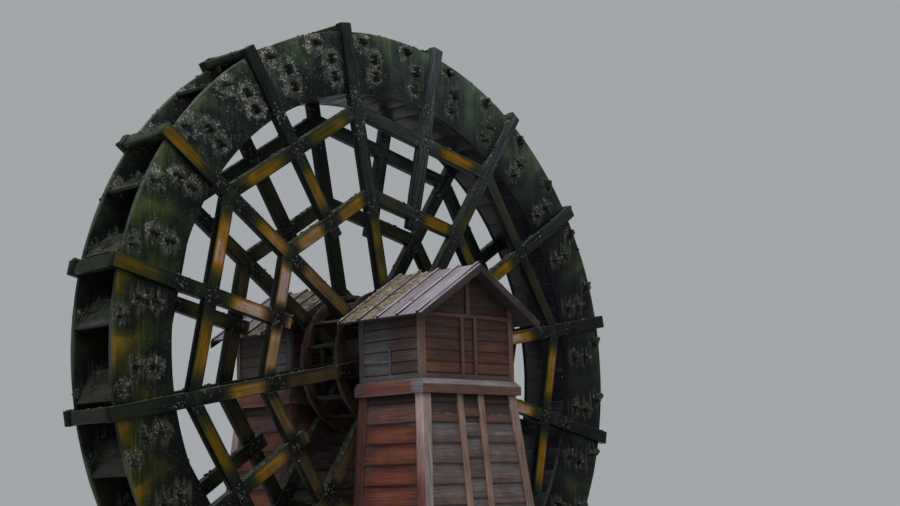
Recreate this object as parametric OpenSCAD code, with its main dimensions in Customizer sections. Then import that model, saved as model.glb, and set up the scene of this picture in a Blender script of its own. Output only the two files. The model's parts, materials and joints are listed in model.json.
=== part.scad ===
// A timber water wheel turning between two small boarded bearing houses.
// Millimetres. The floor is z = 0, the axle runs along Y over the origin, and the wheel's
// middle plane is y = 0. The front of the wheel faces -Y. Both houses are alike and mirrored.

/* [Wheel] */
// Radius over the ends of the spokes
tip_r = 3000; // [2400:10:3600]
// How far the spoke ends stand past the rims
tip_past_rim = 75; // [40:5:120]
// Radial width of the two rims, which close the buckets' ends
rim_band = 555; // [400:5:700]
// Thickness of a rim board
rim_t = 36; // [24:1:60]
// Clear width between the rims
bucket_w = 468; // [300:2:700]
// How far the lowest spoke clears the floor
floor_gap = 150; // [50:10:1000]
// How far the wheel is turned at rest, clockwise seen from the front
wheel_turn = -9.9; // [-22.5:0.1:22.5]

/* [Spokes and braces] */
// Width of spokes and braces, seen from the front
spoke_w = 120; // [80:2:160]
// Thickness of spokes and braces along the axle
spoke_t = 75; // [50:1:110]
// How far the corners of the outer braces lie inside the rims' inner edge
brace_in = 147; // [80:1:400]
// How far the corners of the inner braces lie inside those of the outer ones
brace_step = 750; // [500:1:900]
// How far the short spokes run inwards past the inner braces
short_spoke_past = 80; // [40:5:200]

/* [Hub] */
// Width of the hub block over its flats
nave_w = 460; // [400:5:560]
// How far the hub block stands past the spokes at each end
nave_past = 12; // [0:1:16]
// Outer radius of the two hub hoops
hoop_r = 630; // [500:5:800]
// Radial width of a hub hoop
hoop_band = 100; // [60:5:140]
// Thickness of a hub hoop
hoop_t = 40; // [25:1:60]
// Thickness of the square bars between the hoops
bar_t = 36; // [24:1:50]
// Diameter of the axle
axle_d = 240; // [180:5:280]
// How far the axle's timber runs into each house
axle_in = 150; // [80:5:200]
// Diameter of the iron gudgeon at each end of the axle
gudgeon_d = 64; // [40:1:90]
// How far a gudgeon stands out past its bearing
gudgeon_past = 20; // [5:1:60]

/* [Buckets] */
// Thickness of the bucket boards
bucket_t = 30; // [18:1:40]
// Thickness of the sole boards, which close the buckets' inner side
sole_t = 24; // [16:1:40]
// Sole boards between two spokes
soles_per_bay = 4; // [2:1:6]
// How far inside the rims' edge a bucket's straight board meets its sloping board
elbow_in = 185; // [130:5:240]
// Where the straight board stands, as a share of the distance between two spokes
elbow_share = 0.30; // [0.25:0.01:0.36]
// Where the tip of the sloping board is, as a share of the distance between two spokes
tip_share = 0.08; // [0.06:0.01:0.14]
// How far the bucket tips stay inside the rims' edge
tip_inside = 12; // [5:1:30]
// Width of a board's tenons, which pass through the rims
tenon_w = 85; // [50:5:110]
// How far the tenons stand out past the rims
tenon_out = 65; // [20:1:80]
// Distance between the straight board's outer tenon and the elbow
tenon_edge = 10; // [5:1:30]
// Distance between the middles of the straight board's two tenons
tenon_step = 155; // [120:5:180]
// Place of the sloping board's tenon, as a share of that board's length
tenon_share = 0.6; // [0.4:0.01:0.7]
// Play round a tenon in its mortise
tenon_play = 0.5; // [0.2:0.1:2]
// Radial thickness of the ties that join the front and rear spoke ends
tie_t = 66; // [35:1:75]
// Width of the ties
tie_w = 110; // [70:5:150]

/* [Tower] */
// Width of a tower at its top
tower_w = 1138; // [900:2:1500]
// Gap between the wheel's spokes and the tower's wheel side
tower_gap = 124; // [100:2:300]
// Depth of a tower at its top
tower_d = 759; // [600:1:1200]
// Angle by which the tower's sides lean
batter = 5.4; // [0:0.1:9]
// Width of the tower's corner posts
tower_post = 92; // [70:2:150]
// Width of the battens on the tower's outer face
tower_batten_w = 70; // [40:5:90]
// Distance between the middles of those battens
tower_batten_gap = 254; // [180:2:340]
// Visible height of a tower board
tower_board = 168; // [120:2:240]
// Thickness of the tower's walls at the boards' thin edge
tower_wall_t = 40; // [24:1:60]
// How much further the lower edge of each tower board stands out
tower_lap = 16; // [6:1:24]
// How far the boards stay behind the posts' faces
tower_inset = 10; // [4:1:20]
// Share of the topmost tower board that shows beside the battens
tower_start = 0.42; // [0.1:0.01:1]
// Share of the topmost tower board that shows between the battens
middle_start = 0.13; // [0.1:0.01:1]

/* [Ledge and bearing] */
// Height of the ledge beams round the top of the tower
ledge_h = 120; // [80:2:160]
// How far the ledge stands out past the tower
ledge_out = 34; // [16:1:60]
// Height of the sloping edge along the ledge's top
ledge_slope = 48; // [10:1:60]
// Flat strip between that sloping edge and the house
ledge_flat = 3; // [0:1:8]
// Open joint where two ledge beams meet
ledge_joint = 1; // [0.4:0.1:3]
// Depth of the axle's middle below which the ledge starts
ledge_drop = 225; // [180:5:300]
// Width of the bearing block
bearing_w = 220; // [160:5:300]
// Length of the bearing block along the axle
bearing_d = 150; // [90:5:200]
// Gap between the bearing block and the end of the axle's timber
bearing_gap = 30; // [5:1:60]
// Clearance round a gudgeon in its bearing
bearing_clear = 0.05; // [0.02:0.01:0.1]

/* [House] */
// Width of a house over its corner posts
house_w = 1130; // [900:2:1136]
// How far the house's walls stay inside the tower's faces
house_in = 9; // [4:1:40]
// Height of the side walls over the ledge
wall_h = 592; // [450:1:800]
// Width of the house's corner posts
house_post = 50; // [35:1:80]
// Thickness of the house's walls at the boards' thin edge
house_wall_t = 22; // [14:1:40]
// Visible height of a wall board
house_board = 95; // [70:1:140]
// How much further the lower edge of each wall board stands out
house_lap = 6; // [3:1:10]
// How far the wall boards stay behind the posts' faces
house_inset = 8; // [3:1:16]
// Share of the topmost wall board that shows under the ridge
house_start = 0.43; // [0.1:0.01:1]
// Width of the opening for the axle
axle_hole_w = 310; // [290:5:360]
// Width of the studs and rails round that opening
stud_w = 50; // [35:5:80]
// Width of the battens on the outer gable wall
batten_w = 36; // [20:2:60]
// Thickness of those battens
batten_t = 14; // [6:1:24]
// Distance between the middles of the two upright battens
batten_gap = 160; // [100:5:260]
// Height of the rails at the foot of the walls
rail_w = 42; // [25:1:60]
// Height of the rail under the gable
top_rail_w = 30; // [20:1:50]
// Width of the king post over the upper rail
king_w = 44; // [25:1:70]
// Length of the short batten on each side wall, from the ledge
side_batten_h = 280; // [150:10:400]
// Width of that batten
side_batten_w = 26; // [16:1:40]
// Thickness of the side walls' batten and foot rail
side_batten_t = 10; // [6:1:16]
// Height of the rail under the gable, from the ledge to its lower edge
rail_up = 516; // [400:2:540]

/* [Roof] */
// Pitch of the roof in degrees
roof_pitch = 31.8; // [22:0.1:45]
// How far the roof stands out past the side walls
eave_out = 167; // [100:1:260]
// How far the roof stands out past the outer gable wall
gable_out = 169; // [80:1:260]
// How far the roof stands out past the wheel side's wall
wheel_side_out = 85; // [40:1:110]
// Thickness of the roof boards
roof_t = 16; // [12:1:45]
// Standing battens on each slope
roof_battens = 5; // [3:1:8]
// Width of a standing batten
roof_batten_w = 28; // [18:1:50]
// Height of a standing batten over the boards
roof_batten_h = 18; // [8:1:30]
// How far the outermost battens lie inside the roof's ends
roof_batten_in = 26; // [10:1:60]
// How far the battens run out past the eaves
roof_batten_past = 8; // [2:1:20]
// Depth of the barge boards under the roof's end edges
barge_h = 52; // [40:2:100]
// Thickness of the barge boards
barge_t = 22; // [14:1:35]

/* [Hidden] */

// Facets of a full circle
$fn = 240;
// Play left where two timbers of the wheel or two house parts meet
seat = 0.3;
// More than any length here, for prisms that are trimmed
far = 9000;
// How far a cut reaches past the solid it passes through
cut = 1;

wet_wood = [0.16, 0.17, 0.12];
mossy_wood = [0.2, 0.24, 0.12];
spoke_wood = [0.3, 0.26, 0.13];
iron = [0.25, 0.24, 0.23];
red_wood = [0.42, 0.22, 0.15];
grey_wood = [0.42, 0.38, 0.35];
wall_wood = [0.34, 0.24, 0.19];
roof_wood = [0.42, 0.4, 0.42];

// The wheel has sixteen spokes a side: long and short ones in turn.
bays = 16;
bay = 360 / bays;
hub_h = tip_r + floor_gap;
rim_out_r = tip_r - tip_past_rim;
rim_in_r = rim_out_r - rim_band;
rim_y = bucket_w / 2;
spoke_y = rim_y;
spoke_out_y = spoke_y + spoke_t;
lap_y = spoke_y + spoke_t / 2;
outer_brace_r = rim_in_r - brace_in;
inner_brace_r = outer_brace_r - brace_step;
outer_brace_h = outer_brace_r * cos(bay);
inner_brace_h = inner_brace_r * cos(bay);
short_spoke_in_r = inner_brace_h - spoke_w / 2 - short_spoke_past;
nave_y = spoke_out_y + nave_past;
hoop_y = spoke_y - hoop_t;
hoop_in_r = hoop_r - hoop_band;
bar_r = hoop_r - hoop_band / 2;

// The buckets: a straight board stands on the soles, and a sloping one runs on from its edge.
elbow_r = rim_out_r - elbow_in;
slope_start = wheel_point(elbow_r + bucket_t / 2 + seat, elbow_share);
slope_end = wheel_point(rim_out_r - tip_inside, tip_share);
slope_run = norm(slope_end - slope_start);
tenon_y = rim_y + rim_t + tenon_out;
outer_tenon_r = elbow_r - tenon_edge - tenon_w / 2;

// The tower and the house, measured outwards from the wheel's middle plane
tower_in_y = spoke_out_y + tower_gap;
tower_out_y = tower_in_y + tower_d;
ledge_top = hub_h - ledge_drop;
tower_top = ledge_top - ledge_h;
lean = tan(batter);
house_in_y = tower_in_y + house_in;
house_out_y = tower_out_y - house_in;
house_x = house_w / 2;
rise = tan(roof_pitch);
roof_drop = roof_t / cos(roof_pitch);
roof_under_side = ledge_top + wall_h;
ridge_z = roof_under_side + house_x * rise + roof_drop;
eave_x = house_x + eave_out;
roof_in_y = house_in_y - wheel_side_out;
roof_out_y = house_out_y + gable_out;
axle_end_y = house_in_y + axle_in;
bearing_in_y = axle_end_y + bearing_gap;
bearing_out_y = bearing_in_y + bearing_d;
gudgeon_end_y = bearing_out_y + gudgeon_past;

// Turns a shape of the wheel, drawn upright round the origin, to its place on the axle.
module on_axle(steps = 0) {
  translate([0, 0, hub_h])
    rotate([0, wheel_turn + steps * bay, 0])
      children();
}

// A timber of the wheel: its width lies across the upright line x = 0.
module upright(w, y0, y1, r0, r1) {
  translate([-w / 2, y0, r0])
    cube([w, y1 - y0, r1 - r0]);
}

// A flat ring round the axle between two planes
module ring_y(r_out, r_in, y0, y1) {
  translate([0, y1, 0])
    rotate([90, 0, 0])
      difference() {
        cylinder(h = y1 - y0, r = r_out);
        translate([0, 0, -cut])
          cylinder(h = y1 - y0 + 2 * cut, r = r_in);
      }
}

// A flat shape in the XZ plane, thickened along Y
module along_y(points, y0, y1) {
  translate([0, y1, 0])
    rotate([90, 0, 0])
      linear_extrude(y1 - y0)
        polygon(points);
}

// A flat shape in the YZ plane, thickened along X
module along_x(points, x0, x1) {
  translate([x0, 0, 0])
    rotate([90, 0, 90])
      linear_extrude(x1 - x0)
        polygon(points);
}

// The rear half of the wheel mirrors the front half.
module front_side() {
  mirror([0, 1, 0])
    children();
}

// The axle, its iron ends and the hub block
module axle() {
  color(wet_wood)
    translate([0, axle_end_y, hub_h])
      rotate([90, 0, 0])
        cylinder(h = 2 * axle_end_y, d = axle_d);
}

module gudgeons() {
  color(iron)
    for (side = [-1, 1])
      translate([0, side > 0 ? gudgeon_end_y : -axle_end_y, hub_h])
        rotate([90, 0, 0])
          cylinder(h = gudgeon_end_y - axle_end_y, d = gudgeon_d);
}

module nave() {
  corner_r = nave_w / 2 / cos(bay);
  color(wet_wood)
    on_axle()
      translate([0, nave_y, 0])
        rotate([90, bay, 0])
          difference() {
            cylinder(h = 2 * nave_y, r = corner_r, $fn = 8);
            translate([0, 0, -cut])
              cylinder(h = 2 * (nave_y + cut), r = axle_d / 2 + seat);
          }
}

// One hoop of eight curved boards, whose joints lie behind the long spokes
module hub_hoop() {
  color(red_wood)
    for (i = [0:2:bays - 1])
      on_axle(i + 1)
        intersection() {
          ring_y(hoop_r, hoop_in_r, hoop_y, spoke_y);
          sector(hoop_r, 2 * bay, hoop_y - cut, spoke_y + cut);
        }
}

// A wedge of the given angle about the upright line, less a thin joint at each side, that reaches
// past a circle of the given radius
module sector(r, angle, y0, y1) {
  half = angle / 2;
  joint = 1;
  start = joint / sin(half);
  reach = 1.2 * r;
  along_y([[0, start], [reach * tan(half), reach + start], [-reach * tan(half), reach + start]], y0, y1);
}

module hub_bars() {
  color(spoke_wood)
    for (i = [0:bays - 1])
      on_axle(i)
        upright(bar_t, -hoop_y, hoop_y, bar_r - bar_t / 2, bar_r + bar_t / 2);
}

// Spokes are notched over the rims, so that they stand half proud of them.
module rim_notch() {
  ring_y(rim_out_r + seat, rim_in_r - seat, spoke_y - cut, rim_y + rim_t);
}

module long_spokes() {
  color(spoke_wood)
    for (i = [0:2:bays - 1])
      on_axle(i)
        difference() {
          upright(spoke_w, spoke_y, spoke_out_y, nave_w / 2, tip_r);
          rim_notch();
        }
}

// Short spokes cross the braces, each timber losing half its thickness there.
module short_spokes() {
  color(spoke_wood)
    for (i = [1:2:bays - 1])
      on_axle(i)
        difference() {
          upright(spoke_w, spoke_y, spoke_out_y, short_spoke_in_r, tip_r);
          rim_notch();
          for (h = [outer_brace_h, inner_brace_h])
            upright(
              spoke_w + 2 * cut, lap_y, spoke_out_y + cut,
              h - spoke_w / 2 - seat, h + spoke_w / 2 + seat
            );
        }
}

// Braces run from one long spoke to the next, and butt against the spokes' sides.
function brace_half(h) = (h * sin(bay) - spoke_w / 2 - seat) / cos(bay);

module braces(h) {
  low = h - spoke_w / 2;
  high = h + spoke_w / 2;
  color(spoke_wood)
    for (i = [1:2:bays - 1])
      on_axle(i)
        difference() {
          along_y([
            [-brace_half(low), low], [brace_half(low), low],
            [brace_half(high), high], [-brace_half(high), high]
          ], spoke_y, spoke_out_y);
          upright(spoke_w + 2 * seat, spoke_y - cut, lap_y + seat, low - cut, high + cut);
        }
}

// Each rim is sixteen boards, with their joints under the spokes and mortises for the tenons.
module rim() {
  color(mossy_wood)
    for (i = [0:bays - 1])
      difference() {
        on_axle(i + 0.5)
          intersection() {
            ring_y(rim_out_r, rim_in_r, rim_y, rim_y + rim_t);
            sector(rim_out_r, bay, rim_y - cut, rim_y + rim_t + cut);
          }
        for (half = [0, 0.5])
          on_axle(i + half) {
            straight_tenons(rim_y - cut, rim_y + rim_t + cut, tenon_play);
            sloping_tenon(rim_y - cut, rim_y + rim_t + cut, tenon_play);
          }
      }
}

// Ties lie on the rims' edges and join the spoke ends in pairs.
module rim_ties() {
  color(wet_wood)
    for (i = [0:bays - 1])
      on_axle(i)
        upright(tie_w, -spoke_y, spoke_y, rim_out_r + seat, rim_out_r + seat + tie_t);
}

module sole_boards() {
  count = bays * soles_per_bay;
  step = 360 / count;
  joint = 3;
  board_w = 2 * rim_in_r * tan(step / 2) - joint;
  color(wet_wood)
    for (i = [0:count - 1])
      on_axle((i + 0.5) / soles_per_bay)
        upright(board_w, -rim_y, rim_y, rim_in_r, rim_in_r + sole_t);
}

// A point in the wheel's plane, from its radius and its share of a bay
function wheel_point(r, share) = [r * sin(share * bay), r * cos(share * bay)];

// The outline of a stretch of the sloping board, from one distance along its run to another
function sloping(a, b, half_t) =
  let (
    along = (slope_end - slope_start) / slope_run,
    side = half_t * [-along[1], along[0]]
  )
  [
    slope_start + a * along - side, slope_start + b * along - side,
    slope_start + b * along + side, slope_start + a * along + side
  ];

// A bucket's tenons between two planes, or its mortises where they get some play. A bucket is
// drawn with the spoke before it upright.
module straight_tenons(y0, y1, play = 0) {
  rotate([0, elbow_share * bay, 0])
    for (r = [outer_tenon_r, outer_tenon_r - tenon_step])
      upright(bucket_t + 2 * play, y0, y1, r - tenon_w / 2 - play, r + tenon_w / 2 + play);
}

module sloping_tenon(y0, y1, play = 0) {
  middle = slope_run * tenon_share;
  reach = tenon_w / 2 + play;
  along_y(sloping(middle - reach, middle + reach, bucket_t / 2 + play), y0, y1);
}

module bucket_straight_boards() {
  // the sole boards are flat, so their corners stand out further than their middles
  sole_out_r = (rim_in_r + sole_t) / cos(bay / soles_per_bay / 2);
  color(wet_wood)
    for (i = [0:2 * bays - 1])
      on_axle(i / 2)
        union() {
          rotate([0, elbow_share * bay, 0])
            upright(bucket_t, -rim_y, rim_y, sole_out_r + seat, elbow_r);
          straight_tenons(-tenon_y, tenon_y);
        }
}

module bucket_sloping_boards() {
  color(wet_wood)
    for (i = [0:2 * bays - 1])
      on_axle(i / 2)
        union() {
          along_y(sloping(0, slope_run, bucket_t / 2), -rim_y, rim_y);
          sloping_tenon(-tenon_y, tenon_y);
        }
}

// The tower and house below are drawn for the rear side, with y growing away from the wheel.

// How far the leaning faces have moved out at a height
function out_at(z) = (tower_top - z) * lean;

// A leaning strip between two upright lines, as seen along the other axis
function leaning(a, b) = [[a, tower_top], [b, tower_top], [b + out_at(0), 0], [a + out_at(0), 0]];
function upright_strip(a, b) = [[a, tower_top], [b, tower_top], [b, 0], [a, 0]];
function flip(points) = [for (p = points) [-p[0], p[1]]];

// The part that two prisms share: one seen along Y, the other along X
module crossed(xz, yz) {
  intersection() {
    along_y(xz, -far, far);
    along_x(yz, -far, far);
  }
}

module tower_posts() {
  outer = leaning(tower_out_y - tower_post, tower_out_y);
  inner = upright_strip(tower_in_y, tower_in_y + tower_post);
  right = leaning(tower_w / 2 - tower_post, tower_w / 2);
  color(red_wood) {
    for (xz = [right, flip(right)], yz = [outer, inner])
      crossed(xz, yz);
    for (x = [-1, 1] * tower_batten_gap / 2)
      crossed(upright_strip(x - tower_batten_w / 2, x + tower_batten_w / 2),
              leaning(tower_out_y - tower_wall_t - tower_inset - tower_lap, tower_out_y - tower_inset / 2));
  }
}

// The outline of a wall of lapped boards: face is how far out the wall's own face stands, and
// the boards' lower edges stand out to it. Levels start a share of a board down from the top.
function lapped(face, wall_t, lap, board, top, bottom, slope, share) =
  let (
    first = top - board * share,
    count = ceil((first - bottom) / board),
    levels = [for (i = [0:count - 1]) first - i * board],
    out = [for (z = levels) face + (top - z) * slope]
  )
  concat(
    [[face - lap - wall_t, top], [face - lap * (1 - share), top]],
    [for (i = [0:count - 1], k = [0, 1]) [out[i] - lap * k, levels[i]]],
    [
      [face + (top - bottom) * slope, bottom],
      [face - lap - wall_t + (top - bottom) * slope, bottom]
    ]
  );

function tower_profile(face, slope, start) =
  lapped(face, tower_wall_t, tower_lap, tower_board, tower_top, 0, slope, start);

module tower_walls() {
  outer_profile = tower_profile(tower_out_y - tower_inset, lean, tower_start);
  middle_profile = tower_profile(tower_out_y - tower_inset, lean, middle_start);
  side_profile = tower_profile(tower_w / 2 - tower_inset, lean, tower_start);
  inner_profile = [for (p = tower_profile(0, 0, tower_start)) [tower_in_y + tower_inset - p[0], p[1]]];
  batten_out = (tower_batten_gap + tower_batten_w) / 2 + seat;
  batten_in = (tower_batten_gap - tower_batten_w) / 2 - seat;
  post_x = tower_w / 2 - tower_post - seat;
  post_out_y = tower_out_y - tower_post - seat;
  right_panel = [[batten_out, tower_top], [post_x, tower_top], [post_x + out_at(0), 0], [batten_out, 0]];
  side_panel = [
    [tower_in_y + tower_post + seat, tower_top], [post_out_y, tower_top],
    [post_out_y + out_at(0), 0], [tower_in_y + tower_post + seat, 0]
  ];
  inner_panel = [
    [-post_x, tower_top], [post_x, tower_top],
    [post_x + out_at(0), 0], [-post_x - out_at(0), 0]
  ];
  color(red_wood) {
    crossed(right_panel, outer_profile);
    crossed(flip(right_panel), outer_profile);
    crossed(upright_strip(-batten_in, batten_in), middle_profile);
    crossed(side_profile, side_panel);
    crossed(flip(side_profile), side_panel);
    crossed(inner_panel, inner_profile);
  }
}

// Four beams ring the tower's top. The ones along the axle's wall and the outer wall run
// through, with their ends in the side faces, and the side beams butt against them.
module ledge() {
  x = tower_w / 2 + ledge_out;
  y0 = tower_in_y - ledge_out / 2;
  y1 = tower_out_y + ledge_out;
  slope_low = ledge_top - ledge_slope;
  slope_w = ledge_out + min(house_in, tower_w / 2 - house_x) - ledge_flat;
  hollow_x = tower_w / 2 - tower_post;
  seen_front = [
    [-x, tower_top], [x, tower_top], [x, slope_low], [x - slope_w, ledge_top],
    [slope_w - x, ledge_top], [-x, slope_low]
  ];
  seen_side = [
    [y0, tower_top], [y1, tower_top], [y1, slope_low], [y1 - slope_w, ledge_top], [y0, ledge_top]
  ];
  beam_in = tower_in_y + tower_post;
  beam_out = tower_out_y - tower_post;
  color(grey_wood)
    for (box = [
      [[-far, y0 - cut], [far, beam_in]],
      [[-far, beam_out], [far, y1 + cut]],
      [[-far, beam_in + ledge_joint], [-hollow_x, beam_out - ledge_joint]],
      [[hollow_x, beam_in + ledge_joint], [far, beam_out - ledge_joint]]
    ])
      intersection() {
        crossed(seen_front, seen_side);
        translate([box[0][0], box[0][1], 0])
          cube([box[1][0] - box[0][0], box[1][1] - box[0][1], far]);
      }
}

// A cross beam between the ledge's sides carries a block with the bore for the gudgeon.
module bearing() {
  beam_x = tower_w / 2 - tower_post - seat;
  block_top = hub_h + bearing_w / 2;
  color(wall_wood)
    difference() {
      union() {
        translate([-beam_x, bearing_in_y, tower_top])
          cube([2 * beam_x, bearing_d, ledge_h]);
        translate([-bearing_w / 2, bearing_in_y, tower_top])
          cube([bearing_w, bearing_d, block_top - tower_top]);
      }
      translate([0, bearing_out_y + cut, hub_h])
        rotate([90, 0, 0])
          cylinder(h = bearing_d + 2 * cut, r = gudgeon_d / 2 + bearing_clear);
    }
}

// Height of the roof's underside at a distance from the middle
function under_roof(x) = roof_under_side + (house_x - abs(x)) * rise;

module house_posts() {
  color(grey_wood)
    for (side = [-1, 1], y = [house_in_y, house_out_y - house_post])
      intersection() {
        translate([side > 0 ? house_x - house_post : -house_x, y, ledge_top + seat])
          cube([house_post, house_post, far]);
        under_roof_space();
      }
}

// All that lies under the roof's slopes
module under_roof_space() {
  x = house_x + cut;
  side_z = under_roof(x) - seat;
  along_y([[-x, 0], [x, 0], [x, side_z], [0, under_roof(0) - seat], [-x, side_z]], 0, far);
}

// Profile of a house wall that faces along +Y or +X, with its face at the given place
function house_profile(face) =
  lapped(face, house_wall_t, house_lap, house_board, under_roof(0), ledge_top + seat, 0, house_start);

// A panel that reaches up from one height past another, between two distances from the middle
function panel(x0, x1, z0 = 0, z1 = far) = [[x0, z0], [x1, z0], [x1, z1], [x0, z1]];

module end_walls() {
  x = house_x - house_post - seat;
  stud_x = axle_hole_w / 2 + stud_w + seat;
  hole_x = axle_hole_w / 2 - seat;
  rail_low = hub_h - axle_hole_w / 2 - stud_w - seat;
  rail_high = hub_h + axle_hole_w / 2 + stud_w + seat;
  outer_profile = house_profile(house_out_y - house_inset);
  inner_profile = [for (p = house_profile(0)) [house_in_y + house_inset - p[0], p[1]]];
  color(wall_wood)
    intersection() {
      union() {
        crossed(panel(-x, x), outer_profile);
        crossed(panel(stud_x, x), inner_profile);
        crossed(panel(-x, -stud_x), inner_profile);
        crossed(panel(-hole_x, hole_x, 0, rail_low), inner_profile);
        crossed(panel(-hole_x, hole_x, rail_high), inner_profile);
      }
      under_roof_space();
    }
}

module side_walls() {
  y0 = house_in_y + house_post + seat;
  y1 = house_out_y - house_post - seat;
  right = house_profile(house_x - house_inset);
  color(wall_wood)
    intersection() {
      union() {
        crossed(right, panel(y0, y1));
        crossed(flip(right), panel(y0, y1));
      }
      under_roof_space();
    }
}

// Two studs and two rails frame the opening that the axle passes through.
module axle_frame() {
  half = axle_hole_w / 2;
  depth = house_wall_t + house_lap + house_inset;
  color(grey_wood)
    intersection() {
      translate([0, house_in_y, 0])
        union() {
          for (x = [-half - stud_w, half])
            translate([x, 0, ledge_top + seat])
              cube([stud_w, depth, far]);
          for (z = [hub_h - half - stud_w, hub_h + half])
            translate([-half - cut, 0, z])
              cube([axle_hole_w + 2 * cut, depth, stud_w]);
        }
      under_roof_space();
    }
}

// Rails and battens on the outer gable wall, and a foot rail with a short batten on each side
module wall_battens() {
  face = house_out_y - house_inset;
  wide = house_x - house_post - seat;
  low = ledge_top + seat;
  rail = ledge_top + rail_up;
  side_y0 = house_in_y + house_post + seat;
  side_y1 = house_out_y - house_post - seat;
  side_y = (side_y0 + side_y1) / 2;
  color(wall_wood) {
    intersection() {
      translate([0, face + seat, 0])
        union() {
          translate([-wide, 0, low])
            cube([2 * wide, batten_t, rail_w]);
          translate([-wide, 0, rail])
            cube([2 * wide, batten_t, top_rail_w]);
          for (x = [-1, 1] * batten_gap / 2)
            translate([x - batten_w / 2, 0, low])
              cube([batten_w, batten_t, rail - low + cut]);
          translate([-king_w / 2, 0, rail])
            cube([king_w, batten_t, far]);
        }
      under_roof_space();
    }
    for (x = [house_x - house_inset + seat, -house_x + house_inset - seat - side_batten_t])
      union() {
        translate([x, side_y0, low])
          cube([side_batten_t, side_y1 - side_y0, rail_w]);
        translate([x, side_y - side_batten_w / 2, low])
          cube([side_batten_t, side_batten_w, side_batten_h]);
      }
  }
}

// One slope of the roof, its standing battens running from the ridge out past the eave
module roof_slope(side) {
  first_y = roof_in_y + roof_batten_in;
  step = (roof_out_y - roof_batten_in - roof_batten_w - first_y) / (roof_battens - 1);
  slope = roof_strip(0, roof_drop, 0);
  batten = roof_strip(roof_batten_h / cos(roof_pitch), roof_drop / 2, roof_batten_past);
  color(roof_wood) {
    along_y(side > 0 ? slope : flip(slope), roof_in_y, roof_out_y);
    for (i = [0:roof_battens - 1])
      along_y(side > 0 ? batten : flip(batten), first_y + i * step, first_y + i * step + roof_batten_w);
  }
}

// The right slope's outline, from a height over the boards down to a depth under them, and out
// to a distance past the eave
function roof_strip(over, under, past) =
  let (
    x = eave_x + past,
    z = ridge_z - x * rise
  )
  [[seat / 2, ridge_z + over], [x, z + over], [x, z - under], [seat / 2, ridge_z - under]];

// Two boards under each end of the roof, which meet under the ridge
module barge_boards() {
  top_z = ridge_z - roof_drop - seat;
  edge_z = top_z - eave_x * rise;
  board = [
    [seat / 2, top_z], [eave_x, edge_z], [eave_x, edge_z - barge_h], [seat / 2, top_z - barge_h]
  ];
  color(wall_wood)
    for (y = [roof_in_y, roof_out_y - barge_t], outline = [board, flip(board)])
      along_y(outline, y, y + barge_t);
}

axle();
gudgeons();
nave();
front_side() hub_hoop();  // front_hub_hoop
hub_hoop();  // rear_hub_hoop
hub_bars();
front_side() long_spokes();  // front_long_spokes
long_spokes();  // rear_long_spokes
front_side() short_spokes();  // front_short_spokes
short_spokes();  // rear_short_spokes
front_side() braces(outer_brace_h);  // front_outer_braces
braces(outer_brace_h);  // rear_outer_braces
front_side() braces(inner_brace_h);  // front_inner_braces
braces(inner_brace_h);  // rear_inner_braces
front_side() rim();  // front_rim
rim();  // rear_rim
rim_ties();
sole_boards();
bucket_straight_boards();
bucket_sloping_boards();
front_side() tower_posts();  // front_tower_posts
front_side() tower_walls();  // front_tower_walls
front_side() ledge();  // front_ledge
front_side() bearing();  // front_bearing
front_side() house_posts();  // front_house_posts
front_side() end_walls();  // front_end_walls
front_side() side_walls();  // front_side_walls
front_side() axle_frame();  // front_axle_frame
front_side() wall_battens();  // front_wall_battens
front_side() roof_slope(-1);  // front_roof_left
front_side() roof_slope(1);  // front_roof_right
front_side() barge_boards();  // front_barge_boards
tower_posts();  // rear_tower_posts
tower_walls();  // rear_tower_walls
ledge();  // rear_ledge
bearing();  // rear_bearing
house_posts();  // rear_house_posts
end_walls();  // rear_end_walls
side_walls();  // rear_side_walls
axle_frame();  // rear_axle_frame
wall_battens();  // rear_wall_battens
roof_slope(-1);  // rear_roof_left
roof_slope(1);  // rear_roof_right
barge_boards();  // rear_barge_boards
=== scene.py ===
# %% [markdown]
# # A soaked timber water wheel between two boarded bearing houses
# The wheel's timbers, the towers and the little houses arrive as a measured frame. This
# lesson dresses that frame: it wears the edges of the old timber, adds the small things
# that a joiner and the weather leave on it, and gives every surface its own finish.

# %% Load the measured frame
import json
import math
import random
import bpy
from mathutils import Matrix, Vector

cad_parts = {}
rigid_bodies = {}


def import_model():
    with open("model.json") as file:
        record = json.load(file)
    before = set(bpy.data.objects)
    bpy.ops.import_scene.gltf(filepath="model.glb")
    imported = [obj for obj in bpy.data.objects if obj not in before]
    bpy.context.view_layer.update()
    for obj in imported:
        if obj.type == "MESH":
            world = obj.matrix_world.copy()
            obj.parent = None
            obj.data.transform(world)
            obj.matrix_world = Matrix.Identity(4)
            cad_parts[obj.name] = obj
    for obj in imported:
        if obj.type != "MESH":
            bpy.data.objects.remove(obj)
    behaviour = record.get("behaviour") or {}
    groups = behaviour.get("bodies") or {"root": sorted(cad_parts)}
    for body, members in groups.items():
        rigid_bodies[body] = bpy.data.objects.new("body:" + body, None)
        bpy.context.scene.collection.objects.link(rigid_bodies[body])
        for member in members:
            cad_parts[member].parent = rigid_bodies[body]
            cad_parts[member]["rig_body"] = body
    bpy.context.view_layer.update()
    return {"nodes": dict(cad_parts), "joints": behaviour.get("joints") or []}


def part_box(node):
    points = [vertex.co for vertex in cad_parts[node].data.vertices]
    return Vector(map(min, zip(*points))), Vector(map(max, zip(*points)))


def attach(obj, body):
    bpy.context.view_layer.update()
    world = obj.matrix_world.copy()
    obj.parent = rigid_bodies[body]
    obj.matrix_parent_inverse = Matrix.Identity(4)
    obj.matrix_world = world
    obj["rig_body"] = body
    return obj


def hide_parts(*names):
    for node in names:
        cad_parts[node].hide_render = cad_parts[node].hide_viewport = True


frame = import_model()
from types import SimpleNamespace
import bpy
import numpy as np
from mathutils import Matrix, Quaternion, Vector, noise
from mathutils.bvhtree import BVHTree

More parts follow.
